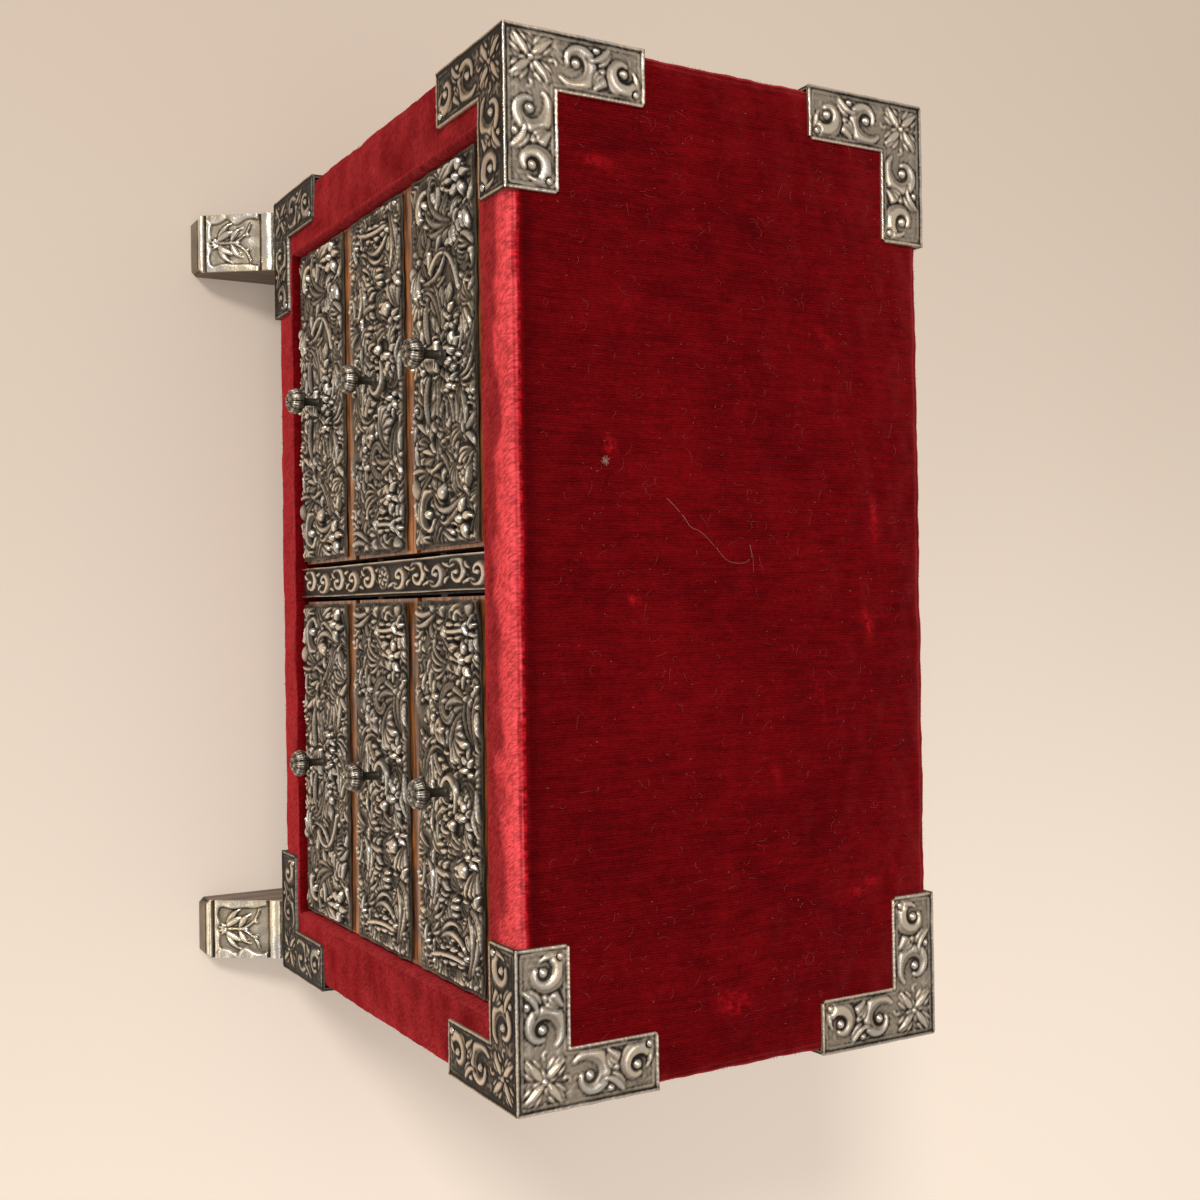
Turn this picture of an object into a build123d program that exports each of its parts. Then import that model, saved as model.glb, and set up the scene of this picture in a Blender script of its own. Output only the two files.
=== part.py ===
"""Velvet-covered table cabinet for coins: six drawers in two columns, silver facings, mounts and feet."""

import os
from math import atan2, cos, hypot, pi, sin

from build123d import *

os.makedirs("parts", exist_ok=True)

# Body, measured over the velvet. The drawers open towards -Y, and Z is 0 under the feet.
body_width = 250.0
body_depth = 125.0
body_height = 170.0
body_edge_radius = 3.2
body_edge_chamfer = 1.9
carcass_edge_chamfer = 1.2

# Velvet: one thickness all over, turned into the drawer opening at the front.
velvet_thickness = 1.2
velvet_turn_in = 8.0
velvet_turn_radius = 1.0

# Rims round the drawer opening, and the carcass behind them.
side_rim = 20.0
top_rim = 15.5
bottom_rim = 16.0
side_seat_depth = 6.0
back_board_thickness = 6.0
runner_step = 2.0
partition_thickness = 10.0
partition_housing = 3.0
shelf_thickness = 4.0
shelf_housing = 2.0
shelf_setback = 0.5

# Drawers.
drawer_recess = 3.0
drawer_rows = 3
row_gap = 1.2
strip_gap = 1.5
outer_gap = 0.6
running_gap = 0.3
front_board_thickness = 7.0
front_board_round = 2.2
wood_reveal = 5.2
drawer_length = 104.0
drawer_side_height = 39.0
drawer_side_thickness = 4.0
drawer_back_thickness = 4.0
drawer_bottom_thickness = 2.5
drawer_bottom_lift = 2.0
side_groove_depth = 1.5
front_groove_depth = 2.0
tail_count = 3
tail_length = 4.5
tail_tip = 7.6
tail_root = 5.8
tail_first = 5.4

# Silver facing of each drawer, with its raised border, ledge and two raised fields.
facing_sheet = 0.5
facing_inset = 0.2
border_inset = 0.4
border_width = 1.1
border_height = 0.4
field_gap = 1.0
field_height = 1.1
ledge_at = 10.0
ledge_width = 1.2
ledge_height = 1.4
knob_seat_radius = 5.2
knob_seat_facets = 8

# Knob: a petalled button on a six-sided spindle that a square nut holds behind the front board.
knob_height = 21.2
knob_projection = 11.2
knob_head_radius = 4.3
knob_head_depth = 4.4
knob_crown_chamfer = 1.8
knob_under_chamfer = 1.5
knob_petal_depth = 0.55
knob_petals = 8
knob_foot_radius = 2.5
knob_foot_depth = 1.0
spindle_radius = 1.3
spindle_facets = 6
spindle_tail = 1.2
nut_width = 5.0
nut_thickness = 2.0

# Strip between the two columns: a folded channel over the partition's front edge.
strip_width = 9.0
strip_sheet = 0.8
strip_flange = 7.0
strip_end_gap = 0.2
strip_bead_radius = 0.6

# Corner mounts: sheet folded over three faces, one L on each.
mount_sheet = 0.8
mount_arm_width = 14.4
mount_arm_length = 38.4
mount_end_round = 1.2
mount_border_inset = 0.35
mount_border_width = 1.3
mount_border_height = 0.5
rosette_radius = 4.4
rosette_facets = 8
rosette_height = 0.7

# Pins that nail the mounts down.
pin_head_width = 1.6
pin_head_height = 0.6
pin_shank = 0.9
pin_length = 8.0
pin_from_edge = 2.6

# Feet: a wooden block that flares forward, with a silver casing on its slope and toe.
foot_height = 23.0
foot_width = 18.8
foot_inset = 2.1
foot_flare = 22.3
foot_toe_height = 6.8
foot_toe_chamfer = 1.6
foot_heel = 24.5
foot_heel_reach = 38.5
casing_sheet = 0.8
neck_band_start = 0.9
neck_band_width = 4.2
neck_band_height = 1.2
foot_panel_start = 6.0
foot_panel_length = 17.2
foot_panel_height = 0.4
toe_band_width = 2.9
toe_band_height = 0.7

# Screws that hold the feet on, driven from below.
screw_facets = 6
screw_radius = 1.6
screw_head_radius = 3.1
screw_head_depth = 1.5
screw_bite = 7.5
screw_setback = 18.5

# Places that follow from the sizes.
half_width = body_width / 2
half_depth = body_depth / 2
body_low = foot_height
body_high = body_low + body_height
body_middle = (body_low + body_high) / 2
wood_half_width = half_width - velvet_thickness
wood_half_depth = half_depth - velvet_thickness
wood_low = body_low + velvet_thickness
wood_high = body_high - velvet_thickness

opening_half_width = half_width - side_rim
opening_low = body_low + bottom_rim
opening_high = body_high - top_rim
opening_height = opening_high - opening_low
opening_middle = (opening_low + opening_high) / 2
row_pitch = opening_height / drawer_rows

front_board_y = -half_depth + drawer_recess
box_front_y = front_board_y + front_board_thickness
turn_in_y = -half_depth + velvet_turn_in
step_y = box_front_y + shelf_setback
back_board_y = wood_half_depth - back_board_thickness
drawer_end_y = box_front_y + drawer_length

drawer_inner_x = strip_width / 2 + strip_gap
drawer_outer_x = opening_half_width - outer_gap
drawer_width = drawer_outer_x - drawer_inner_x
drawer_centre_x = (drawer_inner_x + drawer_outer_x) / 2

# Heights inside a drawer are counted from the lower edge of its front board.
front_board_height = row_pitch - row_gap
box_low = runner_step - row_gap / 2 + running_gap
box_high = box_low + drawer_side_height
panel_low = box_low + drawer_bottom_lift
panel_high = panel_low + drawer_bottom_thickness
facing_low = facing_inset
facing_high = front_board_height - wood_reveal
facing_width = drawer_width - 2 * facing_inset
facing_y = front_board_y - facing_sheet
knob_seat_y = facing_y - field_height

foot_top = foot_height - mount_sheet
foot_outer_x = half_width - foot_inset
foot_inner_x = foot_outer_x - foot_width
toe_y = -half_depth - foot_flare
slope_angle = atan2(foot_top - foot_toe_height, foot_flare)
slope_length = hypot(foot_flare, foot_top - foot_toe_height)


def block(low, high, mode=Mode.ADD):
    """A rectangular block between two corners, in the part that is being built."""
    size = [b - a for a, b in zip(low, high)]
    middle = [(a + b) / 2 for a, b in zip(low, high)]
    with Locations(tuple(middle)):
        Box(*size, mode=mode)


def keep(shape, name):
    """Labels a finished piece and writes it."""
    shape.label = name
    export_step(shape, f"parts/{name}.step")


with BuildPart() as velvet_outside:
    with Locations((0, 0, body_middle)):
        Box(body_width, body_depth, body_height)
    chamfer(velvet_outside.edges().filter_by(Axis.Y), length=body_edge_chamfer)
    for face in velvet_outside.faces().filter_by(Axis.Y):
        fillet(face.edges(), radius=body_edge_radius)

with BuildPart() as carcass_outside:
    with Locations((0, 0, body_middle)):
        Box(2 * wood_half_width, 2 * wood_half_depth, wood_high - wood_low)
    chamfer(carcass_outside.edges(), length=carcass_edge_chamfer)

front_cut = Plane.XZ.offset(half_depth - body_edge_radius)
back_cut = Plane.XZ.offset(-(half_depth - body_edge_radius))

# Pins, for the mount at the right, front and upper corner: two on each face that carries them.
corner = (half_width, -half_depth, body_high)
top_face = Plane(origin=corner, x_dir=(0, 1, 0), z_dir=(0, 0, 1))
front_face = Plane(origin=corner, x_dir=(-1, 0, 0), z_dir=(0, -1, 0))
side_face = Plane(origin=corner, x_dir=(0, 0, -1), z_dir=(1, 0, 0))
pin_places = (
    (mount_arm_length - pin_from_edge, mount_arm_width - pin_from_edge),
    (mount_arm_width - pin_from_edge, mount_arm_length - pin_from_edge),
)


def corner_pins(faces):
    """The pins on some faces of one corner mount: square heads on square cut shanks."""
    with BuildPart() as pins:
        for face in faces:
            with BuildSketch(face.offset(mount_sheet)):
                with Locations(*pin_places):
                    Rectangle(pin_shank, pin_shank)
            extrude(amount=-pin_length)
            with BuildSketch(face.offset(mount_sheet)):
                with Locations(*pin_places):
                    Rectangle(pin_head_width, pin_head_width)
            extrude(amount=pin_head_height)
    return pins.part


def corner_mount(dressed_faces, plain_faces):
    """One mount: an L on each of three faces, raised borders and rosettes on the dressed ones."""
    with BuildPart() as mount:
        for face in (*dressed_faces, *plain_faces):
            with BuildSketch(face) as plate:
                with BuildLine():
                    Polyline(
                        (-mount_sheet, -mount_sheet),
                        (mount_arm_length, -mount_sheet),
                        (mount_arm_length, mount_arm_width),
                        (mount_arm_width, mount_arm_width),
                        (mount_arm_width, mount_arm_length),
                        (-mount_sheet, mount_arm_length),
                        close=True,
                    )
                make_face()
                ends = plate.vertices().group_by(lambda v: -v.distance_to(face.origin))[0]
                fillet(ends, radius=mount_end_round)
            extrude(amount=mount_sheet)
        for face in dressed_faces:
            with BuildSketch(face.offset(mount_sheet)):
                with BuildLine():
                    Polyline(
                        (0, 0),
                        (mount_arm_length, 0),
                        (mount_arm_length, mount_arm_width),
                        (mount_arm_width, mount_arm_width),
                        (mount_arm_width, mount_arm_length),
                        (0, mount_arm_length),
                        close=True,
                    )
                make_face()
                offset(amount=-mount_border_inset, kind=Kind.INTERSECTION, mode=Mode.REPLACE)
                offset(amount=-mount_border_width, kind=Kind.INTERSECTION, mode=Mode.SUBTRACT)
            extrude(amount=mount_border_height)
            with BuildSketch(face.offset(mount_sheet)):
                with Locations((mount_arm_width / 2, mount_arm_width / 2)):
                    RegularPolygon(rosette_radius, side_count=rosette_facets)
            extrude(amount=rosette_height)
    return mount.part


def at_corner(shape, side, depth, level):
    """A copy of a right, front, upper shape at another corner of the body."""
    if side < 0:
        shape = mirror(shape, about=Plane.YZ, mode=Mode.PRIVATE)
    if depth > 0:
        shape = mirror(shape, about=Plane.XZ, mode=Mode.PRIVATE)
    if level < 0:
        shape = mirror(shape, about=Plane.XY.offset(body_middle), mode=Mode.PRIVATE)
    return shape


upper_mount = corner_mount((top_face, front_face, side_face), ())
lower_mount = corner_mount((front_face, side_face), (top_face,))
upper_pins = corner_pins((top_face, front_face, side_face))
lower_pins = corner_pins((front_face, side_face))

with BuildPart() as mount_pins:
    for side in (-1, 1):
        for depth in (-1, 1):
            add(at_corner(upper_pins, side, depth, 1))
            add(at_corner(lower_pins, side, depth, -1))
keep(mount_pins.part, "mount_pins")

# Feet, for the right front corner: the block, then its core and casing, and the screw.
screw_x = (foot_inner_x + foot_outer_x) / 2
screw_y = -half_depth + screw_setback

with BuildPart() as foot_screw:
    for radius, length in ((screw_head_radius, screw_head_depth), (screw_radius, wood_low + screw_bite)):
        with BuildSketch():
            with Locations((screw_x, screw_y)):
                RegularPolygon(radius, side_count=screw_facets)
        extrude(amount=length)

with BuildPart() as foot_block:
    with BuildSketch(Plane.YZ.offset(foot_inner_x)):
        with BuildLine():
            Polyline(
                (-half_depth + foot_heel_reach, foot_top),
                (-half_depth, foot_top),
                (toe_y, foot_toe_height),
                (toe_y, 0),
                (-half_depth + foot_heel, 0),
            )
            TangentArc(
                (-half_depth + foot_heel, 0),
                (-half_depth + foot_heel_reach, foot_top),
                tangent=(0, 1),
            )
        make_face()
    extrude(amount=foot_width)
    toe_edges = foot_block.edges().filter_by(Axis.Z).group_by(Axis.Y)[0]
    chamfer(toe_edges, length=foot_toe_chamfer)

slope = Plane(
    origin=(foot_outer_x, -half_depth, foot_top),
    x_dir=(0, -cos(slope_angle), -sin(slope_angle)),
    z_dir=(-1, 0, 0),
)
slope_face = Plane(origin=slope.origin, x_dir=(1, 0, 0), z_dir=slope.y_dir)
toe_face = Plane(origin=(0, toe_y, 0), x_dir=(1, 0, 0), z_dir=(0, -1, 0))

with BuildPart() as foot_core:
    add(foot_block.part)
    split(bisect_by=slope_face.offset(-casing_sheet), keep=Keep.BOTTOM)
    split(bisect_by=toe_face.offset(-casing_sheet), keep=Keep.BOTTOM)
    add(foot_screw.part, mode=Mode.SUBTRACT)

toe_band_start = slope_length - toe_band_width
with BuildPart() as foot_casing:
    add(foot_block.part)
    split(bisect_by=Plane.XY.offset(foot_top), keep=Keep.BOTTOM)
    add(foot_core.part, mode=Mode.SUBTRACT)
    add(foot_screw.part, mode=Mode.SUBTRACT)
    with BuildSketch(slope):
        with BuildLine():
            ThreePointArc(
                (neck_band_start, 0),
                (neck_band_start + neck_band_width / 2, neck_band_height),
                (neck_band_start + neck_band_width, 0),
            )
            Line((neck_band_start + neck_band_width, 0), (neck_band_start, 0))
        make_face()
        with BuildLine():
            ThreePointArc(
                (toe_band_start, 0),
                (toe_band_start + toe_band_width / 2, toe_band_height),
                (slope_length, 0),
            )
            Line((slope_length, 0), (toe_band_start, 0))
        make_face()
        with Locations((foot_panel_start, 0)):
            Rectangle(foot_panel_length, foot_panel_height, align=(Align.MIN, Align.MIN))
    extrude(amount=foot_width)

with BuildPart() as foot_screws:
    for side in (-1, 1):
        for depth in (-1, 1):
            add(at_corner(foot_screw.part, side, depth, 1))
keep(foot_screws.part, "foot_screws")

for depth, end in ((-1, "front"), (1, "rear")):
    for side, hand in ((-1, "left"), (1, "right")):
        with BuildPart() as core:
            add(at_corner(foot_core.part, side, depth, 1))
        keep(core.part, f"{end}_{hand}_foot_core")
        with BuildPart() as casing:
            add(at_corner(foot_casing.part, side, depth, 1))
        keep(casing.part, f"{end}_{hand}_foot_casing")
        with BuildPart() as mount:
            add(at_corner(upper_mount, side, depth, 1))
            add(mount_pins.part, mode=Mode.SUBTRACT)
        keep(mount.part, f"upper_{end}_{hand}_mount")
        with BuildPart() as mount:
            add(at_corner(lower_mount, side, depth, -1))
            add(mount_pins.part, mode=Mode.SUBTRACT)
            add(foot_screws.part, mode=Mode.SUBTRACT)
        keep(mount.part, f"lower_{end}_{hand}_mount")

# Velvet: a sleeve round the four sides, a back panel, and the front with its turned-in opening.
with BuildPart() as velvet_wrap:
    add(velvet_outside.part)
    add(carcass_outside.part, mode=Mode.SUBTRACT)
    split(bisect_by=front_cut, keep=Keep.BOTTOM)
    split(bisect_by=back_cut, keep=Keep.TOP)
    add(mount_pins.part, mode=Mode.SUBTRACT)
    add(foot_screws.part, mode=Mode.SUBTRACT)
keep(velvet_wrap.part, "velvet_wrap")

with BuildPart() as velvet_back:
    add(velvet_outside.part)
    add(carcass_outside.part, mode=Mode.SUBTRACT)
    split(bisect_by=back_cut, keep=Keep.BOTTOM)
    add(mount_pins.part, mode=Mode.SUBTRACT)
keep(velvet_back.part, "velvet_back")

with BuildPart() as velvet_front:
    add(velvet_outside.part)
    add(carcass_outside.part, mode=Mode.SUBTRACT)
    split(bisect_by=front_cut, keep=Keep.TOP)
    with BuildSketch(Plane.XZ.offset(half_depth)):
        with Locations((0, opening_middle)):
            Rectangle(
                2 * (opening_half_width + velvet_thickness),
                opening_height + 2 * velvet_thickness,
            )
    extrude(amount=-velvet_turn_in)
    with BuildSketch(Plane.XZ.offset(half_depth)):
        with Locations((0, opening_middle)):
            Rectangle(2 * opening_half_width, opening_height)
    extrude(amount=-velvet_turn_in, mode=Mode.SUBTRACT)
    front_edges = velvet_front.faces().sort_by(Axis.Y)[0].inner_wires()[0].edges()
    fillet(front_edges, radius=velvet_turn_radius)
    add(mount_pins.part, mode=Mode.SUBTRACT)
keep(velvet_front.part, "velvet_front")


def carcass_slab(surface, outside, away):
    """Top or bottom board: its section across the depth, then seats for the sides and partition.

    surface is the opening's edge, outside the board's outer face, and away points out of the opening.
    """
    runner = surface - away * runner_step
    seat = surface + away * side_seat_depth
    with BuildPart() as slab:
        with BuildSketch(Plane.YZ.offset(-wood_half_width)):
            with BuildLine():
                Polyline(
                    (-wood_half_depth, outside),
                    (-wood_half_depth, surface + away * velvet_thickness),
                    (turn_in_y, surface + away * velvet_thickness),
                    (turn_in_y, surface),
                    (step_y, surface),
                    (step_y, runner),
                    (back_board_y, runner),
                    (back_board_y, seat),
                    (wood_half_depth, seat),
                    (wood_half_depth, outside),
                    close=True,
                )
            make_face()
        extrude(amount=2 * wood_half_width)
        low, high = sorted((runner - away, seat))
        for inner, outer in ((opening_half_width, half_width), (-half_width, -opening_half_width)):
            block((inner, -half_depth, low), (outer, half_depth, high), mode=Mode.SUBTRACT)
        low, high = sorted((runner, runner + away * partition_housing))
        block(
            (-partition_thickness / 2, step_y, low),
            (partition_thickness / 2, back_board_y, high),
            mode=Mode.SUBTRACT,
        )
        add(carcass_outside.part, mode=Mode.INTERSECT)
        add(mount_pins.part, mode=Mode.SUBTRACT)
        add(foot_screws.part, mode=Mode.SUBTRACT)
    return slab.part


keep(carcass_slab(opening_high, wood_high, 1), "carcass_top")
keep(carcass_slab(opening_low, wood_low, -1), "carcass_bottom")

side_low = opening_low - side_seat_depth
side_high = opening_high + side_seat_depth
shelf_levels = [opening_low + row * row_pitch for row in range(1, drawer_rows)]
partition_tongue = partition_housing - runner_step

for side, hand in ((-1, "left"), (1, "right")):
    with BuildPart() as side_board:
        with BuildSketch(Plane.XY.offset(side_low)):
            with BuildLine():
                Polyline(
                    (side * wood_half_width, -wood_half_depth),
                    (side * (opening_half_width + velvet_thickness), -wood_half_depth),
                    (side * (opening_half_width + velvet_thickness), turn_in_y),
                    (side * opening_half_width, turn_in_y),
                    (side * opening_half_width, back_board_y),
                    (side * (opening_half_width + side_seat_depth), back_board_y),
                    (side * (opening_half_width + side_seat_depth), wood_half_depth),
                    (side * wood_half_width, wood_half_depth),
                    close=True,
                )
            make_face()
        extrude(amount=side_high - side_low)
        near, far = sorted((side * opening_half_width, side * (opening_half_width + shelf_housing)))
        for level in shelf_levels:
            block(
                (near, step_y, level - shelf_thickness / 2),
                (far, back_board_y, level + shelf_thickness / 2),
                mode=Mode.SUBTRACT,
            )
        add(carcass_outside.part, mode=Mode.INTERSECT)
        add(mount_pins.part, mode=Mode.SUBTRACT)
        add(foot_screws.part, mode=Mode.SUBTRACT)
    keep(side_board.part, f"carcass_{hand}_side")

with BuildPart() as back_board:
    block(
        (-opening_half_width - side_seat_depth, back_board_y, side_low),
        (opening_half_width + side_seat_depth, wood_half_depth, side_high),
    )
    add(mount_pins.part, mode=Mode.SUBTRACT)
keep(back_board.part, "carcass_back")

# Partition, narrowed at its front edge for the strip that is folded over it.
with BuildPart() as partition:
    with BuildSketch(Plane.YZ.offset(-partition_thickness / 2)):
        with BuildLine():
            Polyline(
                (front_board_y, opening_low),
                (step_y, opening_low),
                (step_y, opening_low - partition_tongue),
                (back_board_y, opening_low - partition_tongue),
                (back_board_y, opening_high + partition_tongue),
                (step_y, opening_high + partition_tongue),
                (step_y, opening_high),
                (front_board_y, opening_high),
                close=True,
            )
        make_face()
    extrude(amount=partition_thickness)
    strip_inner = strip_width / 2 - strip_sheet
    for side in (-1, 1):
        near, far = sorted((side * strip_inner, side * partition_thickness))
        block(
            (near, front_board_y, opening_low),
            (far, front_board_y + strip_flange, opening_high),
            mode=Mode.SUBTRACT,
        )
        near, far = sorted((side * (partition_thickness / 2 - shelf_housing), side * partition_thickness))
        for level in shelf_levels:
            block(
                (near, step_y, level - shelf_thickness / 2),
                (far, back_board_y, level + shelf_thickness / 2),
                mode=Mode.SUBTRACT,
            )
keep(partition.part, "partition")

for side, hand in ((-1, "left"), (1, "right")):
    with BuildPart() as shelves:
        near, far = sorted(
            (
                side * (partition_thickness / 2 - shelf_housing),
                side * (opening_half_width + shelf_housing),
            )
        )
        for level in shelf_levels:
            block(
                (near, step_y, level - shelf_thickness / 2),
                (far, back_board_y, level + shelf_thickness / 2),
            )
    keep(shelves.part, f"{hand}_shelves")

with BuildPart() as strip:
    with BuildSketch(Plane.XY.offset(opening_low + strip_end_gap)):
        with Locations((0, front_board_y - strip_sheet)):
            Rectangle(strip_width, strip_sheet + strip_flange, align=(Align.CENTER, Align.MIN))
        with Locations((0, front_board_y)):
            Rectangle(
                2 * strip_inner,
                strip_flange,
                align=(Align.CENTER, Align.MIN),
                mode=Mode.SUBTRACT,
            )
        bead_x = strip_width / 2 - strip_bead_radius
        with Locations((-bead_x, front_board_y - strip_sheet), (bead_x, front_board_y - strip_sheet)):
            Circle(strip_bead_radius)
    extrude(amount=opening_height - 2 * strip_end_gap)
keep(strip.part, "partition_strip")

# One drawer, centred on X = 0 with its front board's lower edge at Z = 0.
tail_pitch = (drawer_side_height - tail_first) / tail_count
tail_levels = [box_low + tail_first + tail_pitch * (n + 0.5) - tail_root / 4 for n in range(tail_count)]
side_end_y = drawer_end_y - drawer_back_thickness


def tail_outline(root_y, tip_y, level):
    """One dovetail, seen along X, from its root to its wider tip."""
    Polyline(
        (root_y, level - tail_root / 2),
        (root_y, level + tail_root / 2),
        (tip_y, level + tail_tip / 2),
        (tip_y, level - tail_tip / 2),
        close=True,
    )


def dovetails(side):
    """The tails at both ends of one drawer side, as a part of their own."""
    with BuildPart() as tails:
        for level in tail_levels:
            for root_y, tip_y in ((box_front_y, box_front_y - tail_length), (side_end_y, drawer_end_y)):
                with BuildSketch(Plane.YZ.offset(side * drawer_width / 2)):
                    with BuildLine():
                        tail_outline(root_y, tip_y, level)
                    make_face()
                extrude(amount=-side * drawer_side_thickness)
    return tails.part


all_tails = {side: dovetails(side) for side in (-1, 1)}
panel_half_width = drawer_width / 2 - drawer_side_thickness + side_groove_depth

with BuildPart() as bottom_panel:
    block(
        (-panel_half_width, box_front_y - front_groove_depth, panel_low),
        (panel_half_width, side_end_y + side_groove_depth, panel_high),
    )

head_tip_y = knob_seat_y - knob_projection
spindle_end_y = box_front_y + nut_thickness + spindle_tail
petal_step = pi / knob_petals
petal_points = [
    (radius * cos((2 * n + turn) * petal_step), knob_height + radius * sin((2 * n + turn) * petal_step))
    for n in range(knob_petals)
    for turn, radius in enumerate((knob_head_radius, knob_head_radius - knob_petal_depth))
]

with BuildPart() as knob:
    with BuildSketch(Plane.XZ.offset(-head_tip_y)):
        with BuildLine():
            Polyline(*petal_points, close=True)
        make_face()
    extrude(amount=-knob_head_depth)
    chamfer(knob.faces().sort_by(Axis.Y)[0].edges(), length=knob_crown_chamfer)
    chamfer(knob.faces().sort_by(Axis.Y)[-1].edges(), length=knob_under_chamfer)
    for radius, start_y, end_y in (
        (spindle_radius, spindle_end_y, head_tip_y + knob_head_depth),
        (knob_foot_radius, knob_seat_y, knob_seat_y - knob_foot_depth),
    ):
        with BuildSketch(Plane.XZ.offset(-start_y)):
            with Locations((0, knob_height)):
                RegularPolygon(radius, side_count=spindle_facets)
        extrude(amount=start_y - end_y)

with BuildPart() as knob_nut:
    with BuildSketch(Plane.XZ.offset(-box_front_y)):
        with Locations((0, knob_height)):
            Rectangle(nut_width, nut_width)
            RegularPolygon(spindle_radius, side_count=spindle_facets, mode=Mode.SUBTRACT)
    extrude(amount=-nut_thickness)

with BuildPart() as front_board:
    with BuildSketch(Plane.YZ.offset(-drawer_width / 2)) as section:
        with Locations((front_board_y, 0)):
            Rectangle(front_board_thickness, front_board_height, align=(Align.MIN, Align.MIN))
        fillet(section.vertices().sort_by(Axis.Y)[0:2].sort_by(Axis.Z)[-1], radius=front_board_round)
    extrude(amount=drawer_width)
    for side in (-1, 1):
        add(all_tails[side], mode=Mode.SUBTRACT)
    add(bottom_panel.part, mode=Mode.SUBTRACT)
    add(knob.part, mode=Mode.SUBTRACT)

box_sides = {}
for side in (-1, 1):
    with BuildPart() as box_side:
        near, far = sorted((side * (drawer_width / 2 - drawer_side_thickness), side * drawer_width / 2))
        block((near, box_front_y, box_low), (far, side_end_y, box_high))
        add(all_tails[side])
        add(bottom_panel.part, mode=Mode.SUBTRACT)
    box_sides[side] = box_side

with BuildPart() as box_back:
    block((-drawer_width / 2, side_end_y, box_low), (drawer_width / 2, drawer_end_y, box_high))
    for side in (-1, 1):
        add(all_tails[side], mode=Mode.SUBTRACT)
    add(bottom_panel.part, mode=Mode.SUBTRACT)

with BuildPart() as facing:
    with BuildSketch(Plane.XZ.offset(-front_board_y)):
        with Locations((0, facing_low)):
            Rectangle(facing_width, facing_high - facing_low, align=(Align.CENTER, Align.MIN))
    extrude(amount=facing_sheet)
    with BuildSketch(Plane.XZ.offset(-facing_y)) as border:
        with Locations((0, facing_low)):
            Rectangle(facing_width, facing_high - facing_low, align=(Align.CENTER, Align.MIN))
        offset(amount=-border_inset, kind=Kind.INTERSECTION, mode=Mode.REPLACE)
        offset(amount=-border_width, kind=Kind.INTERSECTION, mode=Mode.SUBTRACT)
    extrude(amount=border_height)
    field_width = facing_width - 2 * (border_inset + border_width + field_gap)
    ledge_z = facing_low + ledge_at
    with BuildSketch(Plane.XZ.offset(-facing_y)):
        with Locations((0, ledge_z)):
            Rectangle(field_width + 2 * field_gap, ledge_width, align=(Align.CENTER, Align.CENTER))
    extrude(amount=ledge_height)
    field_spans = (
        (facing_low + border_inset + border_width + field_gap, ledge_z - ledge_width / 2 - field_gap),
        (ledge_z + ledge_width / 2 + field_gap, facing_high - border_inset - border_width - field_gap),
    )
    with BuildSketch(Plane.XZ.offset(-facing_y)):
        for low, high in field_spans:
            with Locations((0, low)):
                Rectangle(field_width, high - low, align=(Align.CENTER, Align.MIN))
    extrude(amount=field_height, taper=20)
    with BuildSketch(Plane.XZ.offset(-facing_y)):
        with Locations((0, knob_height)):
            RegularPolygon(knob_seat_radius, side_count=knob_seat_facets)
    extrude(amount=field_height)
    add(knob.part, mode=Mode.SUBTRACT)

drawer_pieces = {
    "front_board": (front_board,),
    "box": (box_sides[-1], box_sides[1], box_back),
    "bottom": (bottom_panel,),
    "facing": (facing,),
    "knob": (knob, knob_nut),
}
for side, hand in ((-1, "left"), (1, "right")):
    for row, level in enumerate(("lower", "middle", "upper")):
        place = Location((side * drawer_centre_x, 0, opening_low + row * row_pitch + row_gap / 2))
        for piece, builders in drawer_pieces.items():
            solids = [solid.moved(place) for builder in builders for solid in builder.part.solids()]
            keep(Compound(solids), f"{level}_{hand}_drawer_{piece}")
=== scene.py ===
"""Velvet-covered coin cabinet: six drawers, chased silver fronts, corner mounts and feet, on a pale floor."""

import logging
import math
from collections.abc import Callable, Iterable, Iterator, Sequence
from dataclasses import dataclass, field, replace
from enum import Enum

import bmesh
import bpy
import numpy as np
from mathutils import Matrix, Vector


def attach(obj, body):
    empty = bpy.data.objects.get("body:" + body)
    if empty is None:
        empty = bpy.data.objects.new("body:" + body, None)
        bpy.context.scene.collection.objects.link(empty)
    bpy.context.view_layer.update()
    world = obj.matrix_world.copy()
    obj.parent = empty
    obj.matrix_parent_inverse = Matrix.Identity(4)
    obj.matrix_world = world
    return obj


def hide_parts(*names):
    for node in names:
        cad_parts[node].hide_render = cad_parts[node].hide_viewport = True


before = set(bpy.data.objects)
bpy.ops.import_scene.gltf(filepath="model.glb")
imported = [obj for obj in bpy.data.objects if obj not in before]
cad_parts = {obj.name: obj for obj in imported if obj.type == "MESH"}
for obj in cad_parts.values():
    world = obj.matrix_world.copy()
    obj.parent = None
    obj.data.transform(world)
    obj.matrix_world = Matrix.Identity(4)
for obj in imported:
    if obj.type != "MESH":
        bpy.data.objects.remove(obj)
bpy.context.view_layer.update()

log = logging.getLogger("coin_cabinet")
MM = 0.001
FULL_TURN = 2 * math.pi
BODY_HALF = (125.0, 62.5, 85.0)
BODY_MIDDLE = 108.0
LARGEST_SWELL = 0.35
EDGE_RADIUS = 3.2
THIRDS = (0, 2.094, 4.189)
Array = np.ndarray
Colour = tuple[float, float, float, float]
Place = Callable[[Array, Array, Array], Array]
Spot = Sequence[float]
Mesh = bpy.types.Mesh
Piece = bpy.types.Object
Material = bpy.types.Material
Tree = bpy.types.NodeTree
Node = bpy.types.Node
Socket = bpy.types.NodeSocket


class Crown(Enum):
    """Shape of a raised line across its width."""

    ROUND = "round"
    GROOVED = "grooved"
    ROLLED = "rolled"
    FLUTED = "fluted"


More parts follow.
